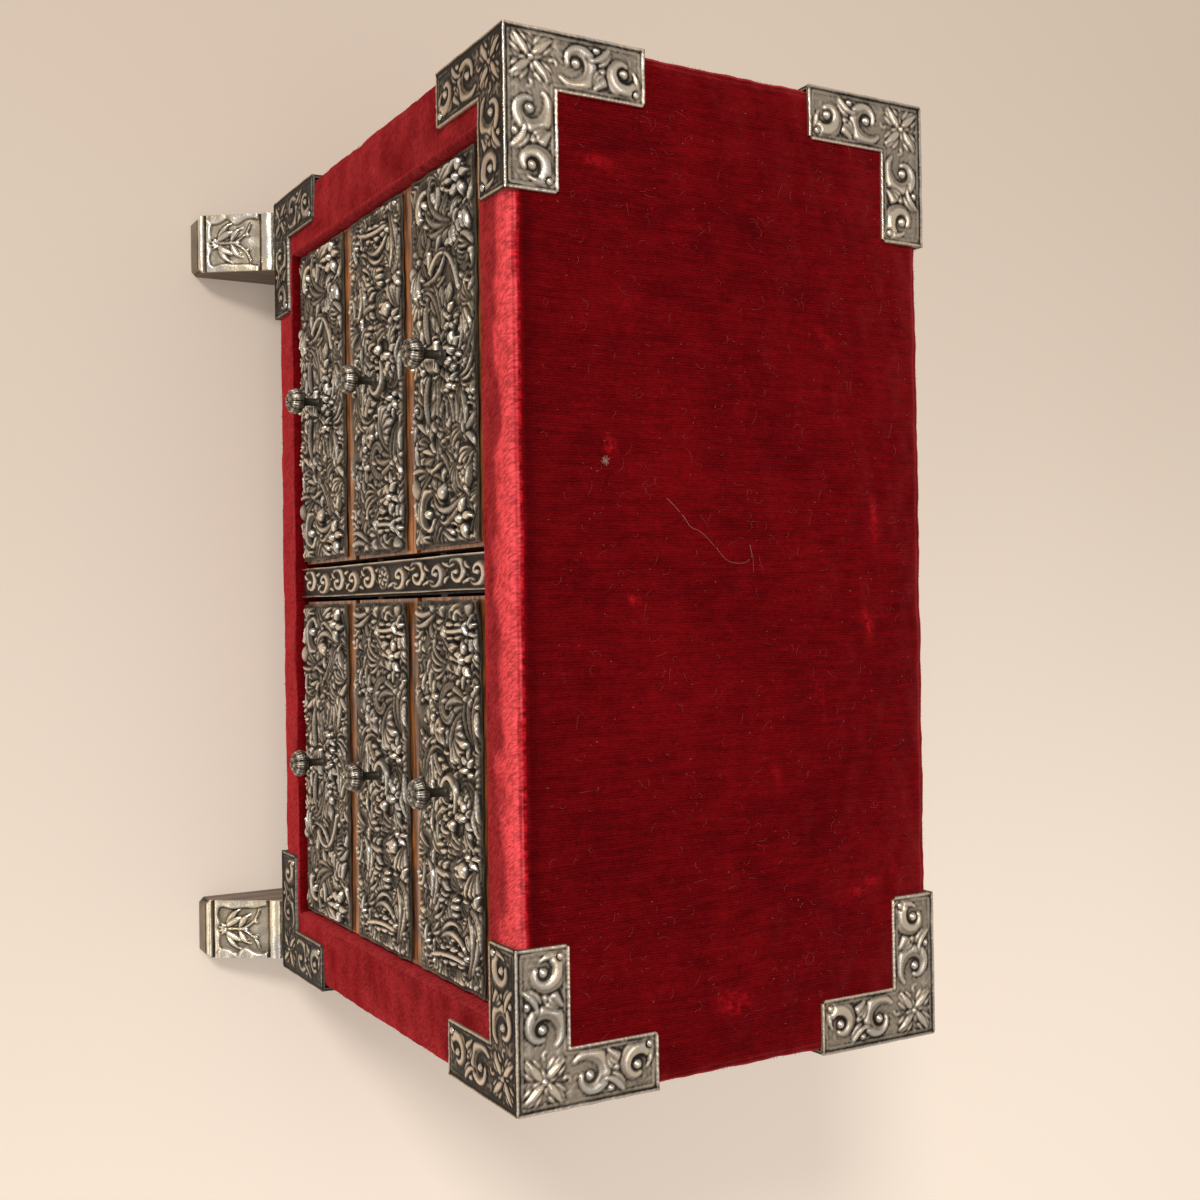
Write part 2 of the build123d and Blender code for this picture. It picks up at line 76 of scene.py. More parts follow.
def crown_lift(crown: Crown, across: Array, side: Array) -> Array:
    """Height of a raised line, as a share of its full height.

    Args:
        crown: The shape of the line.
        across: Distance from the middle of the line over its half width, 0 to 1.
        side: 1 on the left of the line's way and -1 on its right.

    Returns:
        The share at each point.
    """
    dome, q = np.sqrt(np.clip(1 - across**2, 0, 1)), across * side
    if crown is Crown.GROOVED:
        return dome * (1 - 0.45 * np.exp(-((across / 0.3) ** 2)))
    if crown is Crown.ROLLED:
        return dome * (0.76 + 0.24 * q) - 0.26 * np.exp(-(((q + 0.42) / 0.16) ** 2))
    if crown is Crown.FLUTED:
        return dome * (0.76 + 0.24 * np.cos(3 * math.pi * q))
    return dome


def sweep(
    start: Spot, heading: float, length: float, turn: float, tighten: float = 1.0, steps: int = 14
) -> Array:
    """Points along a line that turns steadily, or ever more tightly, as a scroll does.

    Args:
        start: First point, in mm.
        heading: First direction, in radians.
        length: Length of the line, in mm.
        turn: Whole turn from start to end, in radians.
        tighten: 1 for an arc, and more for a line that curls up at its end.
        steps: How many pieces the line has.

    Returns:
        The points, one row each.
    """
    s = np.linspace(0, 1, steps + 1)
    angle = heading + turn * s**tighten
    middle = (angle[1:] + angle[:-1]) / 2
    walk = np.cumsum(np.c_[np.cos(middle), np.sin(middle)] * length / steps, axis=0)
    return np.vstack([np.asarray(start, float), np.asarray(start, float) + walk])


def waves(points: Array, size: float, seed: int, count: int = 26) -> Array:
    """Smooth seeded unevenness, about -1 to 1.

    Args:
        points: Coordinates, one row each.
        size: Size of a bump, in the same unit.
        seed: Seed of the pattern.
        count: How many waves are added.

    Returns:
        One value for each point.
    """
    rng = np.random.default_rng(seed)
    total = np.zeros(len(points))
    for _ in range(count):
        way = rng.normal(size=points.shape[1])
        way *= rng.uniform(0.6, 1.5) * math.pi / (size * np.linalg.norm(way))
        total += np.sin(points @ way + rng.uniform(0, FULL_TURN))
    return total / math.sqrt(count)


def heading_at(path: Array, i: int) -> float:
    """Direction of a line at one of its points, in radians."""
    return math.atan2(*(path[i + 1] - path[i])[::-1])


@dataclass
class Relief:
    """Chased ornament as a height over a flat sheet, in mm."""

    width: float
    height: float
    pitch: float = 0.24
    seed: int = 1
    u: Array = field(init=False)
    v: Array = field(init=False)
    h: Array = field(init=False)
    crest: Array = field(init=False)
    columns: int = field(init=False)
    rows: int = field(init=False)
    rng: np.random.Generator = field(init=False)

    def __post_init__(self) -> None:
        """Lays out the sheet."""
        self.columns = round(self.width / self.pitch)
        self.rows = round(self.height / self.pitch)
        across = np.linspace(0, self.width, self.columns + 1)
        up = np.linspace(0, self.height, self.rows + 1)
        self.u, self.v = np.meshgrid(across, up, indexing="ij")
        self.h = np.zeros_like(self.u)
        self.rng = np.random.default_rng(self.seed)

    def swirl(self, depth: float, step: float, swell: float, seed: int) -> None:
        """Lays swirling flutes over a broad swell, as the ground of the ornament.

        Args:
            depth: Depth of the flutes.
            step: Distance between them.
            swell: Height of the swell.
            seed: Seed of the pattern.
        """
        flat = np.c_[self.u.ravel(), self.v.ravel()]
        bend = 2.1 * waves(flat, 6.5, seed) + 0.5 * waves(flat, 2.6, seed + 1)
        line = 1 - np.abs(np.sin(math.pi * (flat[:, 1] / step + bend)))
        lump = np.clip(swell * (0.55 + 0.6 * waves(flat, 5.5, seed + 2)), 0, None)
        self.h = (lump + depth * (line - 0.3)).reshape(self.h.shape)

    def ridge(
        self, path: Array, widths: Spot, heights: Spot, crown: Crown = Crown.ROUND, cut: float = 0.6
    ) -> None:
        """Raises a line, and sinks the sheet along its edge.

        Args:
            path: Points of the line.
            widths: Half widths at even steps along it.
            heights: Heights at even steps along it.
            crown: Shape across the line.
            cut: How much of what is there is taken away beside the line.
        """
        along = np.linspace(0, 1, len(path))
        w = np.interp(along, np.linspace(0, 1, len(widths)), widths)
        z = np.interp(along, np.linspace(0, 1, len(heights)), heights)
        reach = float(w.max()) + 0.8
        low = np.maximum(((path.min(0) - reach) / self.pitch).astype(int), 0)
        high = np.minimum(((path.max(0) + reach) / self.pitch).astype(int) + 2, self.h.shape)
        if (low >= high).any():
            return
        window = np.s_[low[0] : high[0], low[1] : high[1]]
        u, v, h = self.u[window], self.v[window], self.h[window]
        lift, outside = np.full(u.shape, -1.0), np.full(u.shape, 9.0)
        for k in range(len(path) - 1):
            x, y = u - path[k, 0], v - path[k, 1]
            dx, dy = path[k + 1] - path[k]
            t = np.clip((x * dx + y * dy) / max(dx * dx + dy * dy, 1e-9), 0, 1)
            half = w[k] + (w[k + 1] - w[k]) * t
            away = np.hypot(x - t * dx, y - t * dy)
            side = np.sign(dx * y - dy * x)
            rise = crown_lift(crown, np.minimum(away / half, 1), side) * (z[k] + (z[k + 1] - z[k]) * t)
            lift = np.where(away < half, np.maximum(lift, rise), lift)
            outside = np.minimum(outside, away - half)
        h *= 1 - cut * np.clip(1 - outside / 0.55, 0, 1) ** 0.7
        np.maximum(h, lift, out=h)

    def dome(
        self, centre: Spot, radii: Spot, height: float, heading: float = 0.0, power: float = 0.5
    ) -> None:
        """Raises an oval boss.

        Args:
            centre: Its middle, in mm.
            radii: Its two half widths, in mm.
            height: Its height, in mm.
            heading: Direction of its first half width, in radians.
            power: Half for a ball, and less for a flatter top.
        """
        x, y = self.u - centre[0], self.v - centre[1]
        c, s = math.cos(heading), math.sin(heading)
        p = np.hypot((x * c + y * s) / radii[0], (y * c - x * s) / radii[1])
        self.h *= 1 - 0.6 * np.clip((1.35 - p) / 0.35, 0, 1)
        np.maximum(self.h, height * np.clip(1 - p**2, 0, 1) ** power * (p < 1), out=self.h)

    def plume(
        self, base: Spot, heading: float, length: float, turn: float, width: float, height: float
    ) -> None:
        """Raises one fluted lobe that widens and curls over at its tip.

        Args:
            base: Where it starts, in mm.
            heading: Its first direction, in radians.
            length: Its length, in mm.
            turn: How far it turns on its way, in radians.
            width: Its half width where it is broadest, in mm.
            height: Its height, in mm.
        """
        path = sweep(base, heading, length, turn, 1.9)
        widths = (width * 0.3, width * 0.8, width, width * 0.85, width * 0.45, width * 0.15)
        heights = (height * 0.6, height * 0.85, height, height * 1.1, height, height * 0.7)
        self.ridge(path, widths, heights, Crown.FLUTED)

    def tuft(
        self,
        base: Spot,
        heading: float,
        length: float,
        turn: float,
        width: float,
        height: float,
        count: int = 4,
    ) -> None:
        """Raises long lobes that sweep side by side from one root, as hair or feathers do.

        Args:
            base: Where it starts, in mm.
            heading: First direction of its middle, in radians.
            length: Length of its longest lobe, in mm.
            turn: How far it turns on its way, in radians.
            width: A lobe's half width, in mm.
            height: Its height, in mm.
            count: How many lobes it has.
        """
        for k in range(count):
            lean = (k - (count - 1) / 2) * 0.34
            self.plume(
                base,
                heading + lean * math.copysign(1, turn),
                length * (0.62 + 0.38 * (k + 1) / count),
                turn * (0.8 + 0.2 * k),
                width,
                height,
            )

    def leaf(
        self,
        base: Spot,
        heading: float,
        length: float,
        turn: float,
        spread: float,
        height: float,
        lobes: int = 4,
    ) -> None:
        """Raises an acanthus leaf: pairs of fluted lobes along a ribbed spine.

        Args:
            base: Where it starts, in mm.
            heading: Its first direction, in radians.
            length: Its length, in mm.
            turn: How far it turns on its way, in radians.
            spread: Length of its lobes, in mm.
            height: Its height, in mm.
            lobes: How many pairs of lobes it has.
        """
        spine = sweep(base, heading, length, turn, 1.5, 12)
        for k in range(lobes):
            i = min(1 + round(10 * k / lobes), 11)
            size = spread * (0.8 + 0.5 * math.sin(math.pi * (0.25 + 0.65 * k / lobes)))
            for side in (-1, 1):
                self.plume(
                    spine[i], heading_at(spine, i) + side * 0.75, size, -side * 1.3, size * 0.26, height * 0.9
                )
        widths = (length * 0.055, length * 0.075, length * 0.05, length * 0.02)
        self.ridge(spine, widths, (height * 0.8, height, height, height * 0.7), Crown.FLUTED)

    def scroll(
        self,
        base: Spot,
        heading: float,
        length: float,
        turn: float,
        width: float,
        height: float,
        leaves: int = 2,
    ) -> None:
        """Raises a running scroll with a pearl at its heart and lobes along its back.

        Args:
            base: Where it starts, in mm.
            heading: Its first direction, in radians.
            length: Its length, in mm.
            turn: How far it turns on its way, in radians.
            width: Its half width where it is broadest, in mm.
            height: Its height, in mm.
            leaves: How many lobes grow from its back.
        """
        path = sweep(base, heading, length, turn, 1.6, 34)
        hand = math.copysign(1, turn)
        for k in range(leaves):
            i = 2 + round(16 * k / leaves)
            self.plume(
                path[i],
                heading_at(path, i) - hand * 0.35,
                width * (4.6 - 0.5 * k),
                -hand * 1.2,
                width * 0.85,
                height * 0.85,
            )
        widths = (width * 0.5, width, width * 1.05, width * 0.8, width * 0.5)
        self.ridge(path, widths, (height * 0.7, height, height, height * 0.9, height * 0.8), Crown.ROLLED)
        self.dome(path[-1], (width * 0.85, width * 0.85), height * 1.1)

    def volute(
        self, centre: Spot, radius: float, start: float, turn: float, width: float, height: float
    ) -> None:
        """Raises a C-scroll that winds in round a pearl.

        Args:
            centre: Where the pearl is.
            radius: Distance of the outer end from it.
            start: Direction of the outer end, in radians.
            turn: How far the scroll winds.
            width: Half width of its band.
            height: Height of its band.
        """
        s = np.linspace(0, 1, 27)
        away = radius * (1 - 0.6 * s**1.1)
        angle = start + turn * s
        path = np.asarray(centre) + np.c_[away * np.cos(angle), away * np.sin(angle)]
        hand = math.copysign(1, turn)
        for i in (4, 9):
            self.plume(
                path[i],
                heading_at(path, i) - hand * 0.3,
                width * 3.2,
                -hand * 0.5,
                width * 0.42,
                height * 0.72,
            )
        widths = (width * 0.35, width, width * 1.1, width * 0.9, width * 0.6, width * 0.35)
        heights = (height * 0.7, height, height, height * 0.9, height * 0.85)
        self.ridge(path, widths, heights, Crown.ROLLED, 0.9)
        self.dome(centre, (radius * 0.2, radius * 0.2), height * 1.1)

    def rosette(self, centre: Spot, radius: float, petals: int, height: float, heading: float = 0.0) -> None:
        """Raises an open flower of cupped petals round a seeded heart.

        Args:
            centre: Its middle, in mm.
            radius: Its radius, in mm.
            petals: How many petals it has.
            height: Its height, in mm.
            heading: Direction of its first petal, in radians.
        """
        for k in range(petals):
            way = heading + FULL_TURN * k / petals
            root = np.asarray(centre) + radius * 0.15 * np.array([math.cos(way), math.sin(way)])
            self.plume(root, way - 0.4, radius * 1.1, 1.0, radius * 0.3, height * 0.9)
        self.dome(centre, (radius * 0.3, radius * 0.3), height * 1.12)

    def shell(self, base: Spot, heading: float, radius: float, height: float, ribs: int = 7) -> None:
        """Raises a fan shell of ribs.

        Args:
            base: Where it starts, in mm.
            heading: Direction of its middle rib, in radians.
            radius: Length of that rib, in mm.
            height: Its height, in mm.
            ribs: How many ribs it has.
        """
        for k in range(ribs):
            share = 2 * k / (ribs - 1) - 1
            rib = sweep(base, heading + 1.15 * share, radius * (1 - 0.16 * share**2), 0.25 * share, 1.0, 6)
            widths = (radius * 0.05, radius * 0.13, radius * 0.19)
            self.ridge(rib, widths, (height * 0.6, height * 0.85, height), Crown.ROUND, 0.3)
        self.dome(base, (radius * 0.22, radius * 0.22), height * 1.1)

    def cluster(self, centre: Spot, size: float, height: float, count: int = 5) -> None:
        """Raises a bunch of round fruit.

        Args:
            centre: Its middle, in mm.
            size: Width of one fruit, in mm.
            height: Its height, in mm.
            count: How many fruit it has.
        """
        for k in range(count):
            way = 2.4 * k
            spot = np.asarray(centre) + size * 0.42 * math.sqrt(k) * np.array([math.cos(way), math.sin(way)])
            self.dome(spot, (size * 0.62, size * 0.62), height * (1.1 - 0.05 * k))

    def urn(self, foot: Spot, size: float, height: float) -> None:
        """Raises a two-handled fluted urn that stands upright.

        Args:
            foot: Middle of its foot, in mm.
            size: Width of its body, in mm.
            height: Its height, in mm.
        """
        x, y = foot
        self.ridge(np.array([[x - size * 0.45, y], [x + size * 0.45, y]]), (size * 0.13,), (height * 0.8,))
        self.ridge(np.array([[x, y], [x, y + size * 0.6]]), (size * 0.24, size * 0.14), (height * 0.75,))
        for side in (-1, 1):
            grip = (x + side * size * 0.45, y + size * 0.8)
            handle = sweep(grip, math.pi / 2 - side * 1.2, size * 1.5, side * 3.9, 1.2)
            self.ridge(handle, (size * 0.1, size * 0.08), (height * 0.8, height * 0.6))
        body = np.array([[x, y + size * rise] for rise in (0.45, 0.75, 1.1, 1.35)])
        self.ridge(body, (size * 0.25, size * 0.62, size * 0.66, size * 0.42), (height,), Crown.FLUTED)
        lip = np.array([[x - size * 0.52, y + size * 1.45], [x + size * 0.52, y + size * 1.45]])
        self.ridge(lip, (size * 0.12,), (height * 1.1,))

    def spray(self, base: Spot, heading: float, length: float, lean: float, height: float) -> None:
        """Raises an upright stem with pairs of leaves and a heavy bud.

        Args:
            base: Where it starts, in mm.
            heading: Its first direction, in radians.
            length: Its length, in mm.
            lean: How far it turns on its way, in radians.
            height: Its height, in mm.
        """
        stem = sweep(base, heading, length, lean, 1.2, 12)
        for i, share in ((1, 1.0), (4, 0.95), (7, 0.8)):
            for side in (-1, 1):
                self.plume(
                    stem[i],
                    heading_at(stem, i) + side * 0.55,
                    length * 0.36 * share,
                    -side * 1.5,
                    length * 0.07 * share,
                    height * 0.85,
                )
        self.ridge(stem, (length * 0.04, length * 0.035), (height, height * 0.8))
        self.dome(stem[-1], (length * 0.12, length * 0.1), height * 1.1, heading + lean)
        for side in (-0.9, 0, 0.9):
            self.plume(
                stem[-1], heading + lean + side, length * 0.2, -side * 0.8, length * 0.045, height * 0.95
            )

    def swag(self, start: Spot, end: Spot, sag: float, width: float, height: float) -> None:
        """Raises a fluted garland that hangs between two points.

        Args:
            start: One end, in mm.
            end: The other end, in mm.
            sag: How far its middle hangs, in mm.
            width: Its half width where it is broadest, in mm.
            height: Its height, in mm.
        """
        s = np.linspace(0, 1, 15)
        across = start[0] + (end[0] - start[0]) * s
        path = np.c_[across, start[1] + (end[1] - start[1]) * s - 4 * sag * s * (1 - s)]
        widths = (width * 0.35, width * 0.85, width, width * 0.85, width * 0.35)
        self.ridge(path, widths, (height * 0.8, height, height, height, height * 0.8), Crown.FLUTED)

    def thicket(self, count: int, size: float, height: float, below: float, margin: float = 1.0) -> None:
        """Fills what is still low with lobes, curls and buds that follow one flow.

        Args:
            count: How many forms are laid at most.
            size: Their usual size, in mm.
            height: Their usual height, in mm.
            below: Only ground lower than this is filled, in mm.
            margin: Width that stays free at the sheet's edges, in mm.
        """
        inset = round(margin / self.pitch)
        for _ in range(count):
            low = np.argwhere(self.h[inset:-inset, inset:-inset] < below)
            if not len(low):
                return
            i, j = low[self.rng.integers(len(low))] + inset
            at = np.array([self.u[i, j], self.v[i, j]])
            way = 3.0 * float(waves(at[None, :], 15, self.seed + 7)[0]) + self.rng.normal() * 0.4
            hand = self.rng.choice((-1, 1))
            scale = size * self.rng.uniform(0.7, 1.3)
            top = height * self.rng.uniform(0.75, 1.15)
            kind = self.rng.integers(12)
            if kind == 0:
                self.dome(at, (scale * 0.36, scale * 0.3), top * 1.15, way)
            elif kind == 1:
                curl = sweep(at, way, scale * 2.0, hand * 4.2, 1.4)
                widths = (scale * 0.1, scale * 0.18, scale * 0.14)
                self.ridge(curl, widths, (top * 0.7, top, top), Crown.GROOVED)
            else:
                self.tuft(at, way, scale * 2.3, hand * 1.9, scale * 0.12, top, 2 + kind % 3)

    def outline(self, corners: Array, inset: float, width: float, height: float, notch: float = 0.0) -> None:
        """Raises a worn, slightly wavy bead along a closed outline.

        Args:
            corners: Corners of the outline, anticlockwise.
            inset: How far inside it the bead runs.
            width: Half width of the bead.
            height: Height of the bead.
            notch: How deep it is notched, as a share of its height.
        """
        count = len(corners)
        inner = []
        for k in range(count):
            before, here, after = corners[k - 1], corners[k], corners[(k + 1) % count]
            a = (here - before) / np.linalg.norm(here - before)
            b = (after - here) / np.linalg.norm(after - here)
            inner.append(here + inset * (np.array([-a[1], a[0]]) + np.array([-b[1], b[0]])))
        for k in range(count):
            start, end = inner[k], inner[(k + 1) % count]
            steps = max(round(np.linalg.norm(end - start) / (0.55 if notch else 1.6)), 2)
            path = start + (end - start) * np.linspace(0, 1, steps + 1)[:, None]
            lift = height * (1 + 0.12 * self.rng.normal(size=steps + 1) - notch * (np.arange(steps + 1) % 2))
            self.ridge(path, (width,), tuple(lift), Crown.ROUND, 0.7)

    def finish(
        self, matting: float = 0.02, ground: float = 0.38, sharp: float = 0.24, broad: float = 0.4
    ) -> "Relief":
        """Softens the relief and finds what stands proud of its surroundings.

        Args:
            matting: Unevenness of the whole face, in mm.
            ground: How rubbed the face is where it is level.
            sharp: How far a narrow crest is rubbed above that.
            broad: How far a broad crest is rubbed above that.

        Returns:
            The relief itself.
        """
        top = float(self.h.max())
        self.h += matting * self.rng.normal(size=self.h.shape)
        self.h = blur(self.h, 1, 1)
        fine = self.h - blur(self.h, max(round(0.5 / self.pitch), 1), 2)
        wide = self.h - blur(self.h, round(2.4 / self.pitch), 2)
        self.crest = np.clip(ground + sharp * fine / (0.1 * top) + broad * wide / (0.4 * top), 0, 1)
        return self


def blur(values: Array, radius: int, times: int) -> Array:
    """Averages each value with its neighbours in a square, over and over.

    Args:
        values: The values on the sheet.
        radius: Half width of the square, in steps of the sheet.
        times: How often it is done.

    Returns:
        The softened values.
    """
    for _ in range(times):
        for axis in (0, 1):
            pad = [(0, 0), (0, 0)]
            pad[axis] = (radius + 1, radius)
            total = np.cumsum(np.pad(values, pad, mode="edge"), axis=axis)
            span = 2 * radius + 1
            high = np.take(total, range(span, total.shape[axis]), axis=axis)
            low = np.take(total, range(total.shape[axis] - span), axis=axis)
            values = (high - low) / span
    return values


def new_object(name: str, bm: bmesh.types.BMesh) -> Piece:
    """Turns a finished bmesh into an object at the origin, smooth shaded.

    Args:
        name: Name of the piece.
        bm: Its shape, which is freed.

    Returns:
        The object.
    """
    mesh = bpy.data.meshes.new(name)
    bm.to_mesh(mesh)
    bm.free()
    mesh.polygons.foreach_set("use_smooth", [True] * len(mesh.polygons))
    obj = bpy.data.objects.new(name, mesh)
    bpy.context.scene.collection.objects.link(obj)
    return obj


def coordinates(mesh: Mesh) -> Array:
    """The vertices of a mesh, one row each.

    Args:
        mesh: The mesh.

    Returns:
        The places.
    """
    flat = np.zeros(len(mesh.vertices) * 3)
    mesh.vertices.foreach_get("co", flat)
    return flat.reshape(-1, 3)


def move_to(mesh: Mesh, points: Array) -> None:
    """Puts the vertices of a mesh at new places."""
    mesh.vertices.foreach_set("co", points.astype(np.float32).ravel())
    mesh.update()


def mark(mesh: Mesh, name: str, values: Array) -> None:
    """Stores one number for each vertex."""
    layer = mesh.attributes.new(name, "FLOAT", "POINT")
    layer.data.foreach_set("value", values.astype(np.float32))


def press(
    name: str,
    relief: Relief,
    place: Place,
    skirt: float,
    keep: Callable[[float, float], bool] | None = None,
    open_sides: bool = False,
) -> Piece:
    """Presses a relief into a sheet of metal.

    Args:
        name: Name of the piece.
        relief: The finished ornament.
        place: Gives the places, in mm, of points across, up and out from the sheet.
        skirt: How far the edge is turned back, in mm.
        keep: Says whether a spot of the sheet is kept, by its place across and up.
        open_sides: Whether the first edge across and up is left open, to be joined to a neighbour.

    Returns:
        The object.
    """
    bm = bmesh.new()
    bmesh.ops.create_grid(bm, x_segments=relief.columns, y_segments=relief.rows, size=0.5)
    bmesh.ops.translate(bm, verts=bm.verts, vec=(0.5, 0.5, 0))
    bmesh.ops.scale(bm, verts=bm.verts, vec=(relief.width, relief.height, 1))
    if keep:
        gone = [f for f in bm.faces if not keep(*f.calc_center_median()[:2])]
        bmesh.ops.delete(bm, geom=gone, context="FACES")
    rim = [e for e in bm.edges if e.is_boundary]
    if open_sides:
        rim = [e for e in rim if min(((e.verts[0].co + e.verts[1].co) / 2)[:2]) > 0.1]
    turned = bmesh.ops.extrude_edge_only(bm, edges=rim)["geom"]
    bmesh.ops.translate(bm, verts=[g for g in turned if isinstance(g, bmesh.types.BMVert)], vec=(0, 0, -1))
    obj = new_object(name, bm)
    flat = coordinates(obj.data)
    i = np.rint(flat[:, 0] / relief.width * relief.columns).astype(int)
    j = np.rint(flat[:, 1] / relief.height * relief.rows).astype(int)
    low = flat[:, 2] < -0.5
    rise = np.where(low, -skirt, relief.h[i, j])
    probe = place(
        np.array([5.0, 5.01, 5.0, 5.0]), np.array([4.0, 4.0, 4.01, 4.0]), np.array([0.0, 0.0, 0.0, 0.01])
    )
    move_to(obj.data, place(flat[:, 0], flat[:, 1], rise) * MM)
    if np.dot(np.cross(probe[1] - probe[0], probe[2] - probe[0]), probe[3] - probe[0]) < 0:
        obj.data.flip_normals()
    mark(obj.data, "crest", np.where(low, 0.42, relief.crest[i, j]))
    obj.data.set_sharp_from_angle(angle=math.radians(80))
    return obj


@dataclass
class Wiring:
    """A node tree that is being wired."""

    tree: Tree

    def add(self, kind: str, inputs: dict | None = None, **settings: object) -> Node:
        """Adds a node.

        Args:
            kind: Its type.
            inputs: Values or sockets for its inputs, by name or number.
            settings: Its own settings.

        Returns:
            The node.
        """
        node = self.tree.nodes.new(kind)
        for name, value in settings.items():
            setattr(node, name, value)
        self.feed(node, inputs or {})
        return node

    def feed(self, node: Node, ports: dict) -> None:
        """Sets or links inputs of a node.

        Args:
            node: The node.
            ports: Values or sockets for its inputs, by name or number.
        """
        for key, value in ports.items():
            if isinstance(value, Socket):
                self.tree.links.new(value, node.inputs[key])
            else:
                node.inputs[key].default_value = value

    def math(self, operation: str, *values: object) -> Socket:
        """Adds a sum and gives its result."""
        return self.add("ShaderNodeMath", dict(enumerate(values)), operation=operation).outputs[0]

    def noise(
        self,
        vector: Socket,
        scale: float,
        detail: float = 3.0,
        roughness: float = 0.5,
        stretch: tuple[float, float, float] = (1, 1, 1),
    ) -> Socket:
        """Adds noise, stretched along an axis if asked, and gives its value.

        Args:
            vector: Coordinates that it follows.
            scale: How fine it is.
            detail: How many finer layers it has.
            roughness: How strong those are.
            stretch: Scale along each axis.

        Returns:
            The value.
        """
        spread = self.add("ShaderNodeMapping", {"Vector": vector, "Scale": stretch}).outputs[0]
        made = self.add(
            "ShaderNodeTexNoise", {"Vector": spread, "Scale": scale, "Detail": detail, "Roughness": roughness}
        )
        return made.outputs["Fac"]

    def span(
        self, value: Socket, low: float, high: float, to_low: float = 0.0, to_high: float = 1.0
    ) -> Socket:
        """Stretches a range of values to another, and holds it there."""
        ports = {"Value": value, "From Min": low, "From Max": high, "To Min": to_low, "To Max": to_high}
        return self.add("ShaderNodeMapRange", ports, interpolation_type="SMOOTHSTEP").outputs[0]

    def mix(self, share: object, first: object, second: object, blend: str = "MIX") -> Socket:
        """Mixes two colours and gives the result."""
        colours = {0: share, 6: first, 7: second}
        return self.add("ShaderNodeMix", colours, data_type="RGBA", blend_type=blend).outputs[2]

    def effect(self, tree: Tree, ports: dict) -> Node:
        """Adds a shared effect and feeds its inputs."""
        return self.add("ShaderNodeGroup", ports, node_tree=tree)

    def dent(self, shader: Node, height: Socket, strength: float, distance: float) -> None:
        """Bumps a shader's surface by a height."""
        bump = self.add("ShaderNodeBump", {"Height": height, "Strength": strength, "Distance": distance})
        self.feed(shader, {"Normal": bump.outputs[0]})


def group(
    name: str, inputs: Iterable[tuple[str, str, object]], outputs: Iterable[tuple[str, str]]
) -> tuple[Tree, Wiring, Node, Node]:
    """Starts a shared effect.

    Args:
        name: Name of the effect.
        inputs: Name, kind and usual value of each input.
        outputs: Name and kind of each output.

    Returns:
        The tree, its wiring, its input node and its output node.
    """
    tree = bpy.data.node_groups.new(name, "ShaderNodeTree")
    for label, kind, value in inputs:
        socket = tree.interface.new_socket(name=label, in_out="INPUT", socket_type="NodeSocket" + kind)
        if value is not None:
            socket.default_value = value
    for label, kind in outputs:
        tree.interface.new_socket(name=label, in_out="OUTPUT", socket_type="NodeSocket" + kind)
    wiring = Wiring(tree)
    return tree, wiring, wiring.add("NodeGroupInput"), wiring.add("NodeGroupOutput")


def patina_group() -> Tree:
    """Old silver: black in the hollows, grey on the ground and rubbed bright on what stands proud.

    Returns:
        The effect.
    """
    tree, w, into, out = group(
        "Patina",
        [
            ("Vector", "Vector", None),
            ("Crest", "Float", 0.5),
            ("Hollow", "Color", None),
            ("Ground", "Color", None),
            ("Rubbed", "Color", None),
            ("Wear", "Float", 0.0),
        ],
        [("Color", "Color"), ("Roughness", "Float"), ("Metallic", "Float"), ("Height", "Float")],
    )
    at = into.outputs["Vector"]
    stain = w.noise(at, 110.0, 4.0, 0.6)
    fine = w.noise(at, 1500.0, 3.0, 0.6)
    rubbed = w.math("ADD", into.outputs["Crest"], w.math("MULTIPLY", w.math("SUBTRACT", fine, 0.5), 0.22))
    rubbed = w.math("ADD", rubbed, w.math("MULTIPLY", w.math("SUBTRACT", stain, 0.5), 0.5))
    rubbed = w.math("ADD", rubbed, into.outputs["Wear"])
    ground = w.mix(w.span(rubbed, 0.02, 0.52), into.outputs["Hollow"], into.outputs["Ground"])
    tarnish = w.mix(
        w.span(w.noise(at, 75.0, 3.0), 0.38, 0.64),
        into.outputs["Rubbed"],
        w.mix(0.6, into.outputs["Rubbed"], (0.6, 0.62, 0.64, 1)),
    )
    colour = w.mix(w.span(rubbed, 0.46, 1.02), ground, tarnish)
    w.feed(out, {"Color": colour})
    polish = w.span(rubbed, 0.15, 0.95, 0.52, 0.24)
    uneven = w.math("MULTIPLY", w.math("SUBTRACT", fine, 0.5), 0.16)
    w.feed(out, {"Roughness": w.math("ADD", polish, uneven)})
    w.feed(out, {"Metallic": w.span(rubbed, 0.0, 0.35, 0.75, 1.0)})
    w.feed(out, {"Height": w.math("ADD", w.math("MULTIPLY", fine, 0.5), w.noise(at, 3200.0, 2.0))})
    return tree


